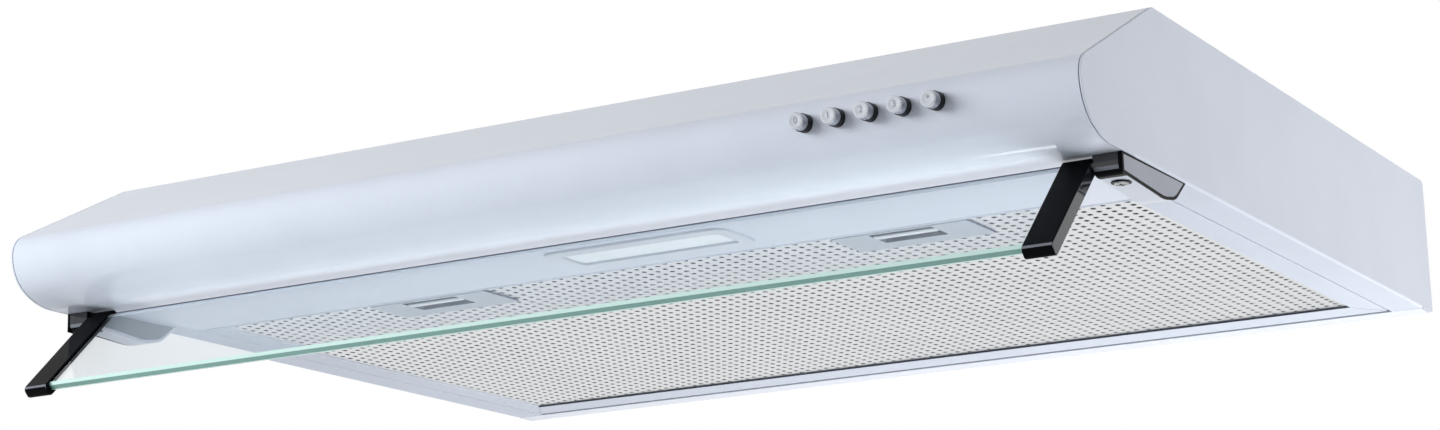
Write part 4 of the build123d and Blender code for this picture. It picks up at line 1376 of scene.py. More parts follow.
@dataclass
class Buttons:
    """Row of round push buttons on the nose, with plain numbers on their faces."""

    body: Body
    count: int = 5
    centre_x: float = 200.0
    pitch: float = 16.2
    rise: float = 22.9
    radius: float = 3.9
    hole_gap: float = 0.35
    collar_wall: float = 0.3
    collar_play: float = 0.06
    collar_reach: float = 3.6
    collar_tail: float = 1.5
    collar_burr: float = 0.1
    reach: float = 9.0
    tail: float = 5.0
    stem_radius: float = 2.2
    stem_length: float = 18.0
    edge: float = 0.8
    rim: float = 0.55
    dish: float = 0.35
    dish_rings: Point = (0.4, 1.0)
    glyphs: tuple[str, ...] = ("0", "1", "2", "3", "*")
    glyph_size: float = 4.2
    glyph_depth: float = 0.12
    glyph_sink: float = 0.03

    @property
    def tilt(self) -> float:
        """Angle that the row points down from straight ahead, in degrees."""
        body = self.body
        return math.degrees(math.asin((body.nose_rise - self.rise) / body.chin_radius))

    def place(self, index: int) -> Point:
        """Centre of one button where it leaves the nose.

        Args:
            index: number of the button from the left, from zero.

        Returns:
            The point.
        """
        body = self.body
        angle = math.radians(self.tilt)
        return (
            self.centre_x + (index - (self.count - 1) / 2) * self.pitch,
            body.front + body.chin_radius * (1 - math.cos(angle)),
            body.under + body.nose_rise - body.chin_radius * math.sin(angle),
        )

    def _rod(self, name: str, index: int, tail: float, reach: float, radius: float) -> Piece:
        """Bar straight through the place of one button, before it is tilted down.

        Args:
            name: name of the piece.
            index: number of the button.
            tail: how far the bar goes behind the place.
            reach: how far it goes in front.
            radius: its radius.

        Returns:
            The new piece.
        """
        x, y, z = self.place(index)
        return Piece.rod(name, (x, y + tail, z), (x, y - reach, z), radius)

    def drill(self, index: int) -> Piece:
        """Cutter for the hole of one button."""
        x, y, z = self.place(index)
        start, end = (x, y - self.tail, z), (x, y + self.tail, z)
        return Piece.rod("hole", start, end, self.radius + self.hole_gap).tilt(self.tilt, (x, y, z))

    def build(self) -> None:
        """Make the first button, copy it along the row and number the copies."""
        first = self._cap().smooth()
        caps = [first] + [first.copy(f"push_button_{n}") for n in range(2, self.count + 1)]
        for index, cap in enumerate(caps):
            with cap.editing():
                cap.take_all()
                cap.move((index * self.pitch, 0, 0))
            cap.dress(BUTTON_SILVER, f"key_{index + 1}", f"button_{index + 1}")
            # Painted shade: the barrel is a darker copy of the button's plastic.
            cap.second(BARREL_SHADE, self._barrel)
            self._glyph(index).dress(GLYPH_GREY, f"key_{index + 1}")
            self._collar(index).dress(SOCKET_BLACK, "root")

    def _barrel(self, at: Vector, normal: Vector) -> bool:
        """True for a face on the straight side of a button, or in its face's step."""
        angle = math.radians(self.tilt)
        ahead = Vector((0, -math.cos(angle), -math.sin(angle)))
        return abs(normal.dot(ahead)) < ASIDE

    def _collar(self, index: int) -> Piece:
        """Dark sleeve in the nose that one button slides in.

        Args:
            index: number of the button.

        Returns:
            The new piece.
        """
        name = f"button_collar_{index + 1}"
        wall = self.radius + self.collar_wall
        bore = self.radius + self.collar_play
        collar = self._rod(name, index, self.collar_tail, self.collar_reach, wall)
        collar.cut(self._rod("bore", index, 2 * self.collar_tail, self.reach, bore))
        collar.soften(self.collar_burr, segments=1, angle=50.0)
        return collar.tilt(self.tilt, self.place(index)).smooth()

    def _cap(self) -> Piece:
        """First button with a round edge, a rim and a dished face."""
        cap = self._rod("push_button_1", 0, self.tail, self.reach, self.radius)
        face = self.place(0)[1] - self.reach
        with cap.editing():
            cap.pick(Pick.EDGES, lambda at, way: at.y < face + NEAR)
            cap.bevel(self.edge, 4)
            cap.pick(Pick.FACES, lambda at, normal: normal.y < -SQUARE)
            cap.inset(self.rim)
            for width in self.dish_rings:
                cap.inset(width, -self.dish / 2)
            cap.pick(Pick.FACES, lambda at, normal: normal.y > SQUARE)
            cap.inset(self.radius - self.stem_radius)
            cap.extrude((0, self.stem_length - self.tail, 0))
        return cap.tilt(self.tilt, self.place(0))

    def _glyph(self, index: int) -> Piece:
        """Raised plain figure on one button's face.

        Args:
            index: number of the button.

        Returns:
            The new piece.
        """
        x, y, z = self.place(index)
        face = y - self.reach + self.dish + self.glyph_sink
        bpy.ops.object.select_all(action="DESELECT")
        bpy.ops.object.text_add(location=metres((x, face, z)), rotation=(math.pi / 2, 0, 0))
        letter = bpy.context.object.data
        letter.body = self.glyphs[index]
        letter.size = self.glyph_size * MM
        letter.extrude = self.glyph_depth * MM
        letter.resolution_u = 3
        letter.align_x = "CENTER"
        letter.align_y = "CENTER"
        bpy.ops.object.convert(target="MESH")
        return Piece(f"button_figure_{index + 1}").tilt(self.tilt, (x, y, z))


@dataclass
class Grille:
    """Grease grille: folded frame, stretched mesh and fleece mat.

    Places in the mesh are measured from the centre of a point's own diamond. The
    tip is a hole's left or right end, the rim its front or rear edge, and the bond
    the place where strands meet.
    """

    body: Body
    latches: Latches
    half: float = 281.0
    front_y: float = -158.2
    rear_y: float = 177.0
    height: float = 7.0
    fold: float = 0.9
    burr: float = 0.18
    rim: float = 0.5
    border_side: float = 14.0
    border_front: float = 2.2
    border_rear: float = 23.0
    mitre: float = 0.6
    mitre_depth: float = 0.4
    pin_radius: float = 1.5
    pin_root: float = 0.5
    pin_reach: float = 4.0
    pin_z: float = -72.5
    overlap: float = 5.0
    net_front: float = 1.4
    column_x: float = 6.24
    period_y: float = 7.2
    grid: int = 97
    strand: float = 3.0
    corner: float = 1.1
    draw_in: float = 1.1
    core: float = 0.5
    tip_half: float = 1.2
    tip_clear: float = 1.7
    rim_half: float = 1.6
    rim_near: float = 0.8
    rim_far: float = 0.5
    bond_half: float = 1.7
    bond_near: float = 2.3
    margin: float = 1.5
    metal: float = 0.2
    lift: float = -0.08
    level: float = 1.15
    latch_lap: float = 0.2
    mat_front: float = -114.0
    mat_low: float = 2.35
    mat_thickness: float = 3.3
    mat_cell: float = 8.0
    mat_bumps: float = 0.25

    @property
    def opening(self) -> tuple[float, float, float]:
        """Half width, front and rear of the opening that the mesh shows in."""
        front = self.front_y + self.border_front
        return (self.half - self.border_side, front, self.rear_y - self.border_rear)

    def build(self) -> None:
        """Make the frame, the mesh and the mat."""
        self._frame()
        self._mesh()
        self._mat()

    def _frame(self) -> None:
        """Fold the frame from one sheet and cut its opening, slots and mitres."""
        under = self.body.under
        half, front, rear = self.opening
        top = under + self.height
        depth = (self.front_y, self.rear_y)
        frame = Piece.centred("grille_border", 0, self.half, depth, (under, top))
        with frame.editing():
            frame.pick(Pick.FACES, lambda at, normal: normal.z > ALONG)
            bpy.ops.mesh.delete(type="FACE")
        frame.round_edges(lambda at, way: at.z < top - NEAR, self.fold)
        frame.outward().thicken(self.body.sheet)
        frame.cut(Piece.centred("hole", 0, half, (front, rear), (under - CLEAR, under + 2 * CLEAR)))
        for x in self.latches.places:
            frame.cut(self.latches.way(x, (self.front_y - CLEAR, self.front_y + 2 * CLEAR)))
        for side in (-1, 1):
            frame.cut(self._mitre(side))
        frame.soften(self.burr, segments=1)
        root, end = self.half - self.pin_root, self.half + self.pin_reach
        for side in (-1, 1):
            ends = [(side * x, self.rear_y, self.pin_z) for x in (root, end)]
            frame.join(Piece.rod("pin", *ends, self.pin_radius, BORE_SIDES))
        frame.smooth().dress(FLAT_PAINT, "grille", "grille_frame")
        # Painted shade: faces that look down get a darker copy of the paint.
        frame.second(UNDER_PAINT_SHADE, faces_down)
        # Painted deep shade on the cut edge at the rear of the opening.
        frame.second(
            DEEP_EDGE_SHADE, lambda at, normal: normal.y < -LEANS and abs(at.y - rear) < self.rim
        )

    def _mitre(self, side: int) -> Piece:
        """Cutter for the fine joint line across one rear corner.

        Args:
            side: -1 for the left corner, 1 for the right one.

        Returns:
            The cutter.
        """
        half, _, rear = self.opening
        under = self.body.under
        run = self.half - half
        long = math.hypot(run, self.border_rear) / 2 + CLEAR
        x, y = side * (self.half + half) / 2, (rear + self.rear_y) / 2
        depth = (y - self.mitre / 2, y + self.mitre / 2)
        height = (under - CLEAR, under + self.mitre_depth)
        groove = Piece.centred("mitre", x, long, depth, height)
        angle = side * math.degrees(math.atan2(self.border_rear, run))
        groove.thing.matrix_world = about(angle, "Z", (x, y, 0))
        return groove

    def _phase(self, at: Vector) -> tuple[float, float]:
        """Place of a point in its own diamond, across and in depth."""
        column = round(at.x / self.column_x)
        shift = (column % 2) * self.period_y / 2
        row = round((at.y - shift) / self.period_y)
        return at.x - column * self.column_x, at.y - shift - row * self.period_y

    def _mesh(self) -> None:
        """Slit and stretch the mesh: diamonds whose strands lean, with flat edges."""
        half, _, rear = self.opening
        bpy.ops.object.select_all(action="DESELECT")
        bpy.ops.mesh.primitive_grid_add(
            x_subdivisions=self.grid,
            y_subdivisions=self.grid,
            size=self.grid * MM,
            rotation=(0, 0, math.pi / 4),
        )
        net = Piece("grille_net")
        diagonal = math.sqrt(2)
        low = (-half - self.overlap, self.front_y + self.net_front, 0)
        high = (half + self.overlap, rear + self.overlap, 0)
        walls = ((low, (-1, 0, 0)), (low, (0, -1, 0)), (high, (1, 0, 0)), (high, (0, 1, 0)))
        with net.editing():
            net.take_all()
            cell = (self.column_x * diagonal, self.period_y / 2 * diagonal, 1)
            bpy.ops.transform.resize(value=cell, center_override=(0, 0, 0))
            net.move((0, 0, self.body.under + self.level))
            for place, out in walls:
                net.take_all()
                net.split(place, out, clear=True)
            net.pick(Pick.FACES, lambda at, normal: True)
            net.inset(self.strand / 2, single=True)
            net.bevel_points(self.corner, 2)
            net.pick(Pick.FACES, lambda at, normal: math.hypot(*self._phase(at)) < self.core)
            bpy.ops.mesh.delete(type="FACE")
            for x in self.latches.places:
                self._clear_latch(net, x)
            for side in (-1, 1):
                net.pick(Pick.POINTS, lambda at, normal: self._tip(at, side))
                net.move((-side * self.draw_in, 0, 0))
                net.pick(Pick.POINTS, lambda at, normal: self._leans(at, side))
                net.move((0, 0, side * self.lift))
        net.face_up(lambda at, normal: normal.z > 1 - ALONG)
        net.modify("SOLIDIFY", thickness=self.metal * MM, offset=0.0)
        net.dress(ALUMINIUM, "grille", "grille_mesh")
        # Painted highlight where the strands meet.
        net.second(BOND_HIGHLIGHT, self._bond_highlight)

    def _tip(self, at: Vector, side: int) -> bool:
        """True for a point at the left or right end of a hole."""
        across, along = self._phase(at)
        beside = self.tip_clear < across * side < self.column_x - self.tip_clear
        return abs(along) < self.tip_half and beside

    def _leans(self, at: Vector, side: int) -> bool:
        """True for a point on the front or rear rim of a hole, clear of the frame.

        Args:
            at: the point.
            side: -1 for the front rim, 1 for the rear one.

        Returns:
            Whether the point leans.
        """
        half, front, rear = self.opening
        margin = self.margin
        inside = abs(at.x) < half - margin and front + margin < at.y < rear - margin
        across, along = self._phase(at)
        in_depth = self.rim_near < along * side < self.period_y / 2 - self.rim_far
        return inside and abs(across) < self.rim_half and in_depth

    def _bond_highlight(self, at: Vector, normal: Vector) -> bool:
        """True for a face where two strands meet, in front of and behind a hole, which gets painted
        highlight.
        """
        across, along = self._phase(at)
        return abs(across) < self.bond_half and abs(along) > self.bond_near

    def _clear_latch(self, net: Piece, x: float) -> None:
        """Cut the mesh away behind one latch plate, in edit mode.

        Args:
            net: the mesh.
            x: place of the plate's middle across the hood.
        """
        latch = self.latches
        half_x = latch.length / 2 - self.latch_lap
        half_y = latch.width / 2 - self.latch_lap
        y = latch.middle_y

        def within(reach: float) -> Test:
            """Test for a face in the plate's outline, or as near it as a reach."""
            return lambda at, normal: (
                abs(at.x - x) < half_x + reach and abs(at.y - y) < half_y + reach
            )

        for sign in (-1, 1):
            net.pick(Pick.FACES, within(3 * self.period_y))
            net.split((x + sign * half_x, y, 0), (1, 0, 0))
        for sign in (-1, 1):
            net.pick(Pick.FACES, within(3 * self.period_y))
            net.split((x, y + sign * half_y, 0), (0, 1, 0))
        net.pick(Pick.FACES, within(0))
        bpy.ops.mesh.delete(type="FACE")

    def _mat(self) -> None:
        """Lay the fleece mat on the mesh, thick and slightly uneven."""
        half, _, rear = self.opening
        low = self.body.under + self.mat_low
        high = low + self.mat_thickness
        reach = half + self.overlap
        depth = (self.mat_front, rear + self.overlap)
        mat = Piece.centred("grease_mat", 0, reach, depth, (low, high))
        size = (2 * reach, depth[1] - depth[0])
        with mat.editing():
            mat.take_all()
            bpy.ops.mesh.subdivide(number_cuts=int(size[1] / self.mat_cell))
            mat.pick(Pick.POINTS, lambda at, normal: at.z > high - NEAR)
            bumps = self.mat_bumps * MM
            bpy.ops.transform.vertex_random(offset=bumps, uniform=0.0, normal=1.0, seed=3)
        mat.smooth(60.0).dress(FLEECE, "grille", "filter_mat")


@dataclass
class Latches:
    """Two latches of the grille: a plate with a finger slot and a sliding rib."""

    body: Body
    places: Point = (-133.0, 145.0)
    names: tuple[str, ...] = ("left", "right")
    setback: float = 136.0
    length: float = 74.0
    width: float = 34.0
    corner: float = 2.0
    plate: float = 1.0
    rounding: float = 0.35
    burr: float = 0.2
    edge: float = 0.8
    lap: float = 0.5
    height: float = 8.0
    slot_half: float = 17.0
    slot_front: float = 138.0
    slot_rear: float = 158.0
    slot_corner: float = 1.2
    slot_roof: float = 1.5
    film: float = 0.05
    end_lean: float = 0.6
    way_low: float = 2.6
    way_high: float = 5.4
    way_play: float = 0.4
    rib_front: float = 143.0
    rib_thickness: float = 5.0
    rib_proud: float = 0.3
    rib_edge: float = 0.7
    rib_burr: float = 0.15
    rib_drop: float = 1.8
    rib_play: float = 0.4
    tongue_half: float = 6.0
    tongue_front: float = 131.35
    tongue_low: float = 3.0
    tongue_high: float = 5.0

    @property
    def middle_y(self) -> float:
        """Y of a plate's centre."""
        return self.body.front + self.setback + self.width / 2

    def build(self) -> None:
        """Make both latches."""
        for name, x in zip(self.names, self.places):
            self._plate(name, x)
            self._rib(name, x)

    def way(self, x: float, depth: Point) -> Piece:
        """Cutter for the way that one tongue slides in.

        Args:
            x: middle of the latch.
            depth: Y of the cut's front and rear.

        Returns:
            The cutter.
        """
        height = (self.body.under + self.way_low, self.body.under + self.way_high)
        return Piece.centred("way", x, self.tongue_half + self.way_play, depth, height)

    def _plate(self, name: str, x: float) -> None:
        """Plate with its pocket for the rib and a guide for the tongue.

        Args:
            name: what the latch is called.
            x: middle of the latch.
        """
        under, front = self.body.under, self.body.front
        top = under + self.height
        middle = (x, self.middle_y)
        outer = (self.length, self.width)
        inner = (self.length - 2 * self.edge, self.width - 2 * self.edge)
        plate = slab(f"latch_plate_{name}", middle, outer, under, under + self.plate, self.corner)
        plate.round_edges(round_foot(under), self.rounding, 3)
        plate.fuse(slab("pocket_body", middle, inner, under + self.lap, top, self.corner))
        depth = (front + self.slot_front, front + self.slot_rear)
        roof = top - self.slot_roof
        pocket = Piece.centred("finger_slot", x, self.slot_half, depth, (under - CLEAR, roof))
        plate.cut(pocket.round_edges(upright, self.slot_corner))
        plate.cut(self.way(x, (front + self.setback - CLEAR, depth[0] + CLEAR)))
        plate.soften(self.burr, angle=60.0).smooth()
        plate.dress(LATCH_GREY, "grille", f"latch_bezel_{name}")
        film = self.film
        end = x + self.length / 2 - self.corner - 2 * film
        # Painted shade on the right end of the plate.
        plate.second(EDGE_SHADE, lambda at, normal: normal.x > self.end_lean and at.x > end)
        # Painted shade inside the finger slot.
        plate.second(
            SLOT_SHADE,
            lambda at, normal: abs(at.x - x) < self.slot_half + film
            and depth[0] - film < at.y < depth[1] + film
            and under + self.rib_proud < at.z < roof + film,
        )

    def _rib(self, name: str, x: float) -> None:
        """Finger rib with round lower edges, and the tongue in front of it.

        Args:
            name: what the latch is called.
            x: middle of the latch.
        """
        under, nose = self.body.under, self.body.front
        front = nose + self.rib_front
        low = under - self.rib_proud
        half = self.slot_half - self.rib_play
        depth = (front, front + self.rib_thickness)
        height = (low, under + self.height - self.rib_drop)
        rib = Piece.centred(f"latch_rib_{name}", x, half, depth, height)
        rib.round_edges(round_foot(low), self.rib_edge, 3)
        depth = (nose + self.tongue_front, front + CLEAR)
        height = (under + self.tongue_low, under + self.tongue_high)
        rib.fuse(Piece.centred("tongue", x, self.tongue_half, depth, height))
        rib.soften(self.rib_burr, angle=60.0).smooth()
        rib.dress(RIB_GREY, f"latch_{name}", f"latch_slider_{name}")
        # Painted shade on the rib's faces above its rounded foot.
        rib.second(SLOT_SHADE, lambda at, normal: at.z > low + self.rib_edge)


@dataclass
class Visor:
    """Glass visor: pane, two arms and the pivots that they turn on.

    Lengths along the visor are measured down from the pivots' centre.
    """

    body: Body
    pivot_setback: float = 46.3
    pivot_drop: float = 4.0
    rest: float = 43.8
    arm_outer: float = 284.7
    arm_width: float = 14.4
    arm_thickness: float = 6.8
    arm_length: float = 67.2
    arm_end: float = 2.4
    arm_edge: float = 0.45
    crown: float = 0.05
    pin_radius: float = 1.6
    pin_play: float = 0.03
    glass_thickness: float = 5.0
    glass_top: float = 0.8
    glass_bottom: float = 63.6
    engaged: float = 7.8
    play: float = 0.1
    grind: float = 1.3
    face_lean: float = 0.95
    band_lean: Point = (0.35, 0.75)
    band_drop: float = 0.4

    @property
    def pivot(self) -> Point:
        """Y and Z of the pivots, as a point in the middle plane."""
        return (0.0, self.body.front + self.pivot_setback, self.body.under - self.pivot_drop)

    @property
    def down(self) -> Vector:
        """Direction along the visor, away from the pivots."""
        lean = math.radians(self.rest)
        return Vector((0, -math.cos(lean), -math.sin(lean)))

    def _bar(self, name: str, x: Point, along: Point, thickness: float) -> Piece:
        """Bar from the pivot straight forwards, before it is tilted down.

        Args:
            name: name of the piece.
            x: left and right ends.
            along: distances from the pivot, near and far.
            thickness: thickness of the bar, centred on the pivot.

        Returns:
            The new piece.
        """
        _, y, z = self.pivot
        half = thickness / 2
        return Piece.box(name, (x[0], y - along[1], z - half), (x[1], y - along[0], z + half))

    def build(self) -> None:
        """Make the right-hand arm, mirror it, and hang the pane between them."""
        arm = self._arm()
        twin = arm.mirrored("visor_arm_left_moulding")
        down = self.down
        outer = self.arm_outer - CLEAR
        least, most = self.band_lean
        for bar, name in ((arm, "right"), (twin, "left")):
            bar.dress(GLOSS_BLACK, "visor", f"visor_arm_{name}")
            # Painted reflection: a lighter black on the outer sides of the arms.
            bar.second(
                BLACK_PAINTED_REFLECTION,
                lambda at, normal: abs(normal.x) > self.face_lean and abs(at.x) > outer,
            )
            # Painted highlight on the rounded end band of each arm.
            bar.second(
                HIGHLIGHT_GREY,
                lambda at, normal: least < normal.dot(down) < most and normal.z > -self.band_drop,
            )
        self._pane()

    def _arm(self) -> Piece:
        """Right-hand arm: round at the pivot, slotted for the glass, bored for the pin."""
        _, y, z = self.pivot
        inner = self.arm_outer - self.arm_width
        half = self.arm_thickness / 2
        reach = inner + self.engaged
        end = y - self.arm_length
        span = (inner, self.arm_outer)
        arm = self._bar("visor_arm_right_moulding", span, (0, self.arm_length), self.arm_thickness)
        arm.round_edges(
            lambda at, way: abs(at.y - y) < NEAR and abs(way.x) > ALONG, half - self.crown, 8
        )
        with arm.editing():
            arm.pick(Pick.POINTS, lambda at, normal: at.y > y - half - NEAR)
            arm.move((0, half, 0))
        arm.round_edges(
            lambda at, way: abs(at.y - end) < NEAR and abs(way.x) > ALONG, self.arm_end, 6
        )
        arm.soften(self.arm_edge, segments=3, angle=50.0)
        along = (self.glass_top - self.play, self.glass_bottom + self.play)
        thickness = self.glass_thickness + 2 * self.play
        arm.cut(self._bar("slot", (inner - CLEAR, reach + self.play), along, thickness))
        start, stop = (reach, y, z), (self.arm_outer + CLEAR, y, z)
        arm.cut(Piece.rod("bore", start, stop, self.pin_radius + self.pin_play, 32))
        return arm.tilt(self.rest, self.pivot).smooth()

    def _pane(self) -> None:
        """Pane of float glass whose ground edges show the glass's own green."""
        half = self.arm_outer - self.arm_width + self.engaged
        span = (self.glass_top, self.glass_bottom)
        pane = self._bar("visor_pane", (-half, half), span, self.glass_thickness)
        pane.round_edges(lambda at, way: True, self.grind, 1)
        pane.tilt(self.rest, self.pivot).smooth(25.0)
        pane.dress(GLASS, "visor", "visor_glass")
        down = self.down
        pane.second(GLASS_EDGE, lambda at, normal: normal.dot(down) > self.face_lean)
        pane.second(GLASS_BEVEL, lambda at, normal: ASIDE < normal.dot(down) < self.face_lean)
        pane.second(GLASS_TOP, lambda at, normal: normal.dot(down) < -ASIDE)


@dataclass
class Hinges:
    """Hinge housings under the side flanges, their black caps and screws.

    Places in depth are distances from the nose, drops are distances below the
    underside, and a share says how much of an inset a corner of the outline takes.
    """

    body: Body
    visor: Visor
    inner_x: float = 285.3
    outer_x: float = 298.8
    cap_front: float = 42.6
    cap_rear: float = 50.0
    cap_drop: float = 9.6
    cap_round: float = 4.6
    cap_edge: float = 0.35
    cap_band: float = 1.6
    cap_inner: float = 0.3
    band_depth: float = 2.0
    first_turn: float = 0.88
    front_drop: float = 9.6
    deep_y: float = 91.0
    deep_drop: float = 12.4
    heel_y: float = 104.0
    heel_drop: float = 10.2
    heel_round: float = 3.4
    heel_margin: float = 0.5
    top_share: float = 0.8
    heel_share: float = 0.6
    rear_share: float = 0.4
    low_share: float = 0.6
    lap: float = 0.1
    burr: float = 0.3
    rear_y: float = 117.0
    wall: float = 1.5
    plate_inset: float = 1.4
    plate_proud: float = 0.35
    plate: float = 0.6
    plate_edge: float = 0.55
    inner_edge: float = 0.25
    trim: float = 0.5
    pin_play: float = 0.05
    screw_y: float = 58.0
    screw_head: float = 3.3
    screw_height: float = 1.1
    screw_round: float = 0.6
    shank: float = 1.9
    recess: Point = (2.4, 0.45)
    recess_depth: float = 0.8
    shade_ring_radius: float = 4.6
    shade_ring_half: float = 0.3

    def build(self) -> None:
        """Make the right-hand pieces and mirror them."""
        pieces = {
            "hinge_cap": (self._cap(), GLOSS_BLACK, "hinge_cap"),
            "hinge_body": (self._housing(), HINGE_GREY, "hinge_housing"),
            "hinge_side_plate": (self._plate(), PLATE_GREY, None),
            "hinge_inner_plate": (self._inner_plate(), INNER_GREY, None),
            "hinge_edge_trim": (self._trim(), GLOSS_BLACK, None),
            "hinge_screw": (self._screw(), SCREW, None),
            # A black ring round the screw, as painted shade of the hole that the head sits in.
            "hinge_shade_ring": (self._shade_ring(), GLOSS_BLACK, None),
        }
        for name, (piece, finish, node) in pieces.items():
            piece.thing.name = f"{name}_right_moulding"
            twin = piece.mirrored(f"{name}_left_moulding")
            for made, side in ((piece, "right"), (twin, "left")):
                made.dress(finish, "root", *([f"{node}_{side}"] if node else []))
                if name == "hinge_cap":
                    # Painted reflection on the flat front of the cap.
                    made.second(BLACK_PAINTED_REFLECTION, self._front)
                    # Painted highlight on the first turn of the cap's round edge.
                    made.second(HIGHLIGHT_GREY, self._front_edge)
            if name == "hinge_screw":
                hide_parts("hinge_screws")

    def _front(self, at: Vector, normal: Vector) -> bool:
        """True for a face on the flat front of a cap, clear of its ends."""
        return self._painted_front(at) and normal.y < -SQUARE

    def _front_edge(self, at: Vector, normal: Vector) -> bool:
        """True for a face on the first turn of a cap's round edge, clear of its ends."""
        return self._painted_front(at) and -SQUARE < normal.y < -self.first_turn

    def _painted_front(self, at: Vector) -> bool:
        """True for a place at the front of a cap, clear of its ends, where reflection and highlight are
        painted.
        """
        front = self.body.front + self.cap_front + self.band_depth
        inner, outer = self.inner_x + self.cap_inner, self.outer_x - self.cap_band
        return at.y < front and inner < abs(at.x) < outer

    def _cap(self) -> Piece:
        """Glossy pivot block with a rounded lower front edge."""
        body = self.body
        front, rear = body.front + self.cap_front, body.front + self.cap_rear
        low = body.under - self.cap_drop
        cap = Piece.box("cap", (self.inner_x, front, low), (self.outer_x, rear, body.under))
        cap.round_edges(
            lambda at, way: round_foot(low)(at, way) and abs(way.x) > ALONG and at.y < front + NEAR,
            self.cap_round,
            8,
        )
        cap.soften(self.cap_edge, segments=3, angle=50.0)
        with cap.editing():
            cap.take_all()
            cap.split((self.outer_x - self.cap_band, 0, 0), (1, 0, 0))
            cap.take_all()
            cap.split((0, 0, low + self.cap_round), (0, 0, 1))
        _, y, z = self.visor.pivot
        start, end = (self.inner_x - CLEAR, y, z), (self.outer_x - self.wall + self.cap_inner, y, z)
        cap.cut(Piece.rod("bore", start, end, self.visor.pin_radius + self.pin_play, 32))
        return cap.smooth()

    def _outline(self, name: str, inset: float, x: float, front: float) -> Piece:
        """Side outline of the housing, filled, with round lower corners.

        Args:
            name: name of the piece.
            inset: distance inside the housing's own outline.
            x: place of the outline across the hood.
            front: place of its front edge.

        Returns:
            The new piece, one flat face.
        """
        body = self.body
        places = [
            (front + inset, self.top_share * inset),
            (front + inset, self.front_drop - inset),
            (self.deep_y, self.deep_drop - inset),
            (self.heel_y - self.heel_share * inset, self.heel_drop - inset),
            (self.rear_y - 2 * inset, self.rear_share * inset),
        ]
        points = [(body.front + y, body.under - drop) for y, drop in places]
        outline = Piece.dot(name, (x, *points[0]))
        with outline.editing():
            bpy.ops.mesh.select_mode(type="VERT")
            outline.take_all()
            for before, after in zip(points, points[1:]):
                outline.extrude((0, after[0] - before[0], after[1] - before[1]))
            outline.take_all()
            bpy.ops.mesh.edge_face_add()
            lowest = body.under - self.low_share * self.front_drop
            rear = body.front + self.deep_y - CLEAR
            outline.pick(Pick.POINTS, lambda at, normal: at.z < lowest and at.y > rear)
            outline.bevel_points(self.heel_round, 6)
        return outline

    def _block(self, name: str, inset: float, low: float, high: float, front: float) -> Piece:
        """Housing outline drawn out across the hood into a solid.

        Args:
            name: name of the piece.
            inset: distance inside the housing's own outline.
            low: place of its inner side.
            high: place of its outer side.
            front: place of its front edge.

        Returns:
            The new piece.
        """
        solid = self._outline(name, inset, low, front)
        with solid.editing():
            solid.take_all()
            solid.extrude((high - low, 0, 0))
        return solid.outward()

    def _housing(self) -> Piece:
        """Hollow housing, open on top."""
        proud, wall, rear = self.plate_proud, self.wall, self.cap_rear
        low, high = self.inner_x, self.outer_x
        housing = self._block("housing", 0.0, low + proud, high - proud, rear)
        hollow = self._block("hollow", wall, low + wall, high - wall, rear)
        top = self.body.under - wall - self.lap
        with hollow.editing():
            hollow.pick(Pick.POINTS, lambda at, normal: at.z > top)
            hollow.move((0, 0, 2 * wall))
        return housing.cut(hollow).soften(self.burr, angle=50.0).smooth()

    def _plate(self) -> Piece:
        """Grey plate on the outer side, which laps over the cap's end as well."""
        high = self.outer_x + self.plate_proud
        front = self.cap_front + self.plate
        plate = self._block("plate", self.plate_inset, high - self.plate, high, front)
        heel = self.body.front + self.deep_y + self.heel_margin
        plate.round_edges(lambda at, way: at.x > high - NEAR and at.y > heel, self.plate_edge, 3)
        return plate.smooth()

    def _inner_plate(self) -> Piece:
        """Darker plate on the side that faces the arm."""
        low = self.inner_x
        plate = self._block("inner", self.plate_inset, low, low + self.plate, self.cap_rear)
        plate.round_edges(lambda at, way: at.x < low + NEAR, self.inner_edge, 2)
        return plate.smooth()

    def _trim(self) -> Piece:
        """Thin black edge round the outer plate."""
        high = self.outer_x + self.plate_proud
        front = self.cap_front + self.cap_inner
        inset = self.plate_inset + 2 * NEAR
        trim = self._block("trim", 0.0, high - self.trim, high, front)
        inside = self._block("inside", inset, high - 2 * CLEAR, high + 2 * CLEAR, front)
        return trim.cut(inside).smooth()

    def _seat(self) -> Point:
        """Place of the screw on the housing's bottom."""
        body = self.body
        rise = (self.screw_y - self.cap_rear) / (self.deep_y - self.cap_rear)
        drop = self.front_drop + rise * (self.deep_drop - self.front_drop)
        return ((self.inner_x + self.outer_x) / 2, body.front + self.screw_y, body.under - drop)

    def _shade_ring(self) -> Piece:
        """Black ring round the screw's head: painted shade of the hole that the head sits in."""
        x, y, seat = self._seat()
        half = self.shade_ring_half
        shade_ring = Piece.rod("shade_ring", (x, y, seat - half), (x, y, seat + half), self.shade_ring_radius, 40)
        ends = ((x, y, seat - 2 * CLEAR), (x, y, seat + CLEAR))
        return shade_ring.cut(Piece.rod("hole", *ends, self.screw_head + self.lap, 32)).smooth()

    def _screw(self) -> Piece:
        """Pan-head cross-recess screw up into the housing."""
        x, y, seat = self._seat()
        low = seat - self.screw_height
        screw = Piece.rod("screw", (x, y, low), (x, y, seat), self.screw_head, 40)
        screw.round_edges(round_foot(low), self.screw_round, 5)
        height = (low - CLEAR, low + self.recess_depth)
        for wide, deep in (self.recess, self.recess[::-1]):
            screw.cut(Piece.centred("recess", x, wide, (y - deep, y + deep), height))
        ends = ((x, y, seat - self.lap), (x, y, self.body.under))
        return screw.fuse(Piece.rod("shank", *ends, self.shank, BORE_SIDES)).smooth()


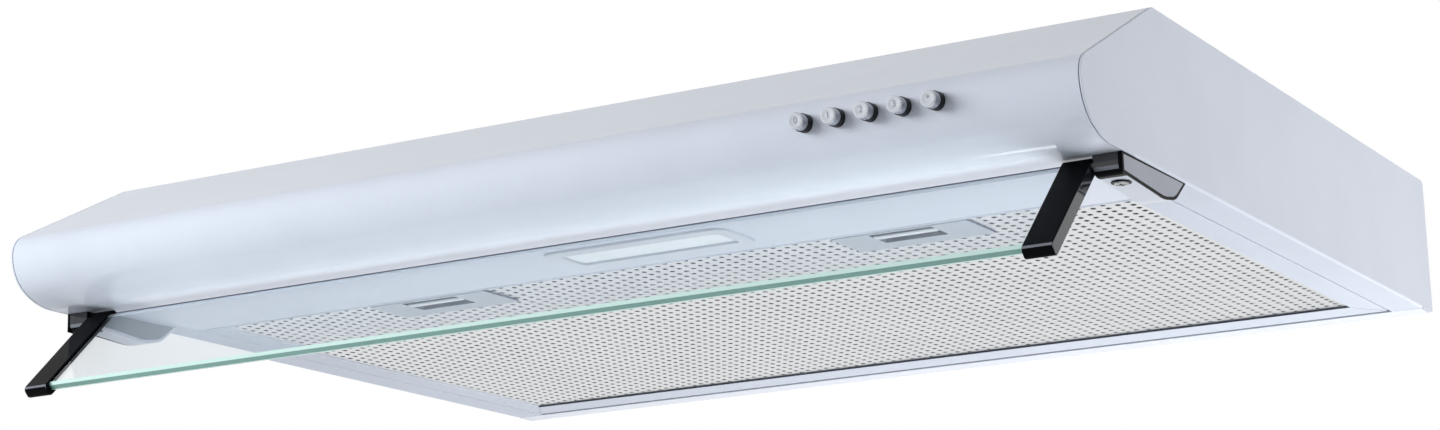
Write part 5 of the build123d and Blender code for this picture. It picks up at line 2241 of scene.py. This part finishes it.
@dataclass
class Innards:
    """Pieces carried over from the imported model, each with a finish of its own."""

    white: tuple[str, ...] = (
        "duct_spigot", "flap_left", "flap_right", "capacitor", "terminal_box", "terminal_lid",
        "switch_module",
    )
    charcoal: tuple[str, ...] = ("scroll_housing", "impeller")
    zinc: tuple[str, ...] = ("scroll_cover", "motor_bracket", "lamp_housing")
    bright: tuple[str, ...] = ("scroll_screws", "mat_retainer", "visor_pins")
    steel: tuple[str, ...] = ("motor_can", "rotor_shaft")
    black: tuple[str, ...] = ("cable_gland",)
    board: tuple[str, ...] = ("led_board",)

    def build(self, nodes: dict[str, bpy.types.Object]) -> None:
        """Put each finish in its node's material slots.

        Args:
            nodes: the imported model's objects by the name of their node.
        """
        groups = {
            WHITE_PP: self.white,
            FAN_GREY: self.charcoal,
            ZINC: self.zinc,
            SCREW: self.bright,
            MOTOR_STEEL: self.steel,
            GLOSS_BLACK: self.black,
            BOARD: self.board,
        }
        for finish, names in groups.items():
            for name in names:
                for slot in nodes[name].material_slots:
                    slot.material = finish.material()
                log.info("%s: %s", name, finish.name)


@dataclass(frozen=True)
class SoftBox:
    """One large soft lamp that looks at the hood.

    Attributes:
        name: name of the lamp.
        place: where it stands, in millimetres.
        size: width and height of its light, in millimetres.
        power: its power in watts.
        colour: linear colour of its light.
    """

    name: str
    place: Point
    size: Point
    power: float
    colour: Point

    def build(self, target: Vector) -> None:
        """Hang the lamp and turn it to a target.

        Args:
            target: the point that it looks at, in metres.
        """
        light = bpy.data.lights.new(self.name, "AREA")
        light.color = self.colour
        light.shape = "RECTANGLE"
        light.size, light.size_y = (side * MM for side in self.size)
        light.energy = self.power
        lamp = bpy.data.objects.new(self.name, light)
        lamp.visible_glossy = False
        bpy.context.scene.collection.objects.link(lamp)
        lamp.location = metres(self.place)
        lamp.rotation_euler = (target - lamp.location).to_track_quat("-Z", "Y").to_euler()


@dataclass
class Studio:
    """Floor, soft lights, white surroundings and the photograph's camera."""

    floor_z: float = -900.0
    floor_size: float = 6000.0
    floor_glow: float = 0.8
    ambient: float = 0.28
    target: Point = (0.0, -50.0, -40.0)
    camera_place: Point = (766.0, -1411.8, -390.3)
    yaw: float = 29.8
    pitch: float = 13.16
    roll: float = -1.39
    lens: float = 74.4
    sensor: float = 36.0
    nearest: float = 0.05
    # Above in front on the left, low behind, and from the right.
    lamps: tuple[SoftBox, ...] = (
        SoftBox("key_box", (-1000, -1500, 250), (1400, 600), 29.0, (0.95, 0.975, 1.0)),
        SoftBox("low_box", (250, 400, -850), (1200, 900), 14.5, (0.98, 0.99, 1.0)),
        SoftBox("side_box", (1500, 300, 0), (900, 900), 8.5, (1.0, 1.0, 1.0)),
    )

    def build(self) -> None:
        """Set up the whole studio."""
        self._world()
        self._floor()
        for lamp in self.lamps:
            lamp.build(metres(self.target))
        self._camera()
        bpy.context.scene.view_settings.view_transform = "Standard"

    def _background(self, tree: Tree) -> Socket:
        """One where a camera, mirror or glass looks at the surroundings.

        Args:
            tree: node tree that the nodes are added to.

        Returns:
            The output that is one there and zero elsewhere.
        """
        rays = add_node(tree, "LightPath").outputs
        seen = rays["Is Camera Ray"]
        for kind in ("Is Glossy Ray", "Is Transmission Ray"):
            seen = add_node(tree, "Math", {"operation": "MAXIMUM"}, {0: seen, 1: rays[kind]}).outputs[0]
        return seen

    def _world(self) -> None:
        """Soft even light all round, seen as plain white."""
        world = bpy.data.worlds.new("white_room")
        bpy.context.scene.world = world
        world.use_nodes = True
        tree = world.node_tree
        tree.nodes.clear()
        soft = {"Color": linear("f2f5fa"), "Strength": self.ambient}
        light = add_node(tree, "Background", soft).outputs[0]
        plain = {"Color": linear("ffffff"), "Strength": 1.0}
        white = add_node(tree, "Background", plain).outputs[0]
        sides = {"Fac": self._background(tree), 1: light, 2: white}
        mixed = add_node(tree, "MixShader", links=sides)
        add_node(tree, "OutputWorld", links={"Surface": mixed.outputs[0]})

    def _floor(self) -> None:
        """Pale matt floor well below the hood, clear when looked at from beneath."""
        bpy.ops.object.select_all(action="DESELECT")
        place = (0, 0, self.floor_z * MM)
        bpy.ops.mesh.primitive_plane_add(size=self.floor_size * MM, location=place)
        floor = Piece("studio_floor")
        material = bpy.data.materials.new("matt_white_floor")
        material.use_nodes = True
        tree = material.node_tree
        tree.nodes.clear()
        matt = add_node(tree, "BsdfDiffuse", {"Color": linear("eceef0")}).outputs[0]
        plain = {"Color": linear("ffffff"), "Strength": 1.0}
        glow = add_node(tree, "Emission", plain).outputs[0]
        limits = {"To Max": self.floor_glow}
        share = add_node(tree, "MapRange", limits, {"Value": self._background(tree)})
        sides = {"Fac": share.outputs["Result"], 1: matt, 2: glow}
        above = add_node(tree, "MixShader", links=sides).outputs[0]
        beneath = add_node(tree, "NewGeometry").outputs["Backfacing"]
        clear = add_node(tree, "BsdfTransparent").outputs[0]
        sided = add_node(tree, "MixShader", links={"Fac": beneath, 1: above, 2: clear})
        add_node(tree, "OutputMaterial", links={"Surface": sided.outputs[0]})
        floor.thing.data.materials.append(material)

    def _camera(self) -> None:
        """Camera at the photograph's place, level and lens."""
        camera = bpy.data.objects.new("photo_camera", bpy.data.cameras.new("photo_camera"))
        bpy.context.scene.collection.objects.link(camera)
        camera.data.sensor_width = self.sensor
        camera.data.lens = self.lens
        camera.data.clip_start = self.nearest
        yaw, pitch, roll = (math.radians(angle) for angle in (self.yaw, self.pitch, self.roll))
        level = Vector((math.cos(yaw), math.sin(yaw), 0))
        flat = Vector((-math.sin(yaw), math.cos(yaw), 0))
        ahead = math.cos(pitch) * flat + Vector((0, 0, math.sin(pitch)))
        above = level.cross(ahead)
        right = math.cos(roll) * level + math.sin(roll) * above
        up = math.cos(roll) * above - math.sin(roll) * level
        turn = Matrix((right, up, -ahead)).transposed().to_4x4()
        camera.matrix_world = Matrix.Translation(metres(self.camera_place)) @ turn
        bpy.context.scene.camera = camera


def main() -> None:
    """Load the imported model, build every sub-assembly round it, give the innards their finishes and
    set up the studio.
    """
    logging.basicConfig(level=logging.INFO, format="%(message)s")
    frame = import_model()
    body = Body()
    buttons = Buttons(body)
    lamp = Lamp(body)
    latches = Latches(body)
    visor = Visor(body)
    assemblies = [
        Canopy(body, buttons),
        SidePanels(body),
        FrontStrip(body, lamp, latches),
        lamp,
        buttons,
        Grille(body, latches),
        latches,
        visor,
        Hinges(body, visor),
    ]
    for assembly in assemblies:
        assembly.build()
    Innards().build(frame["nodes"])
    Studio().build()


if __name__ == "__main__":
    main()
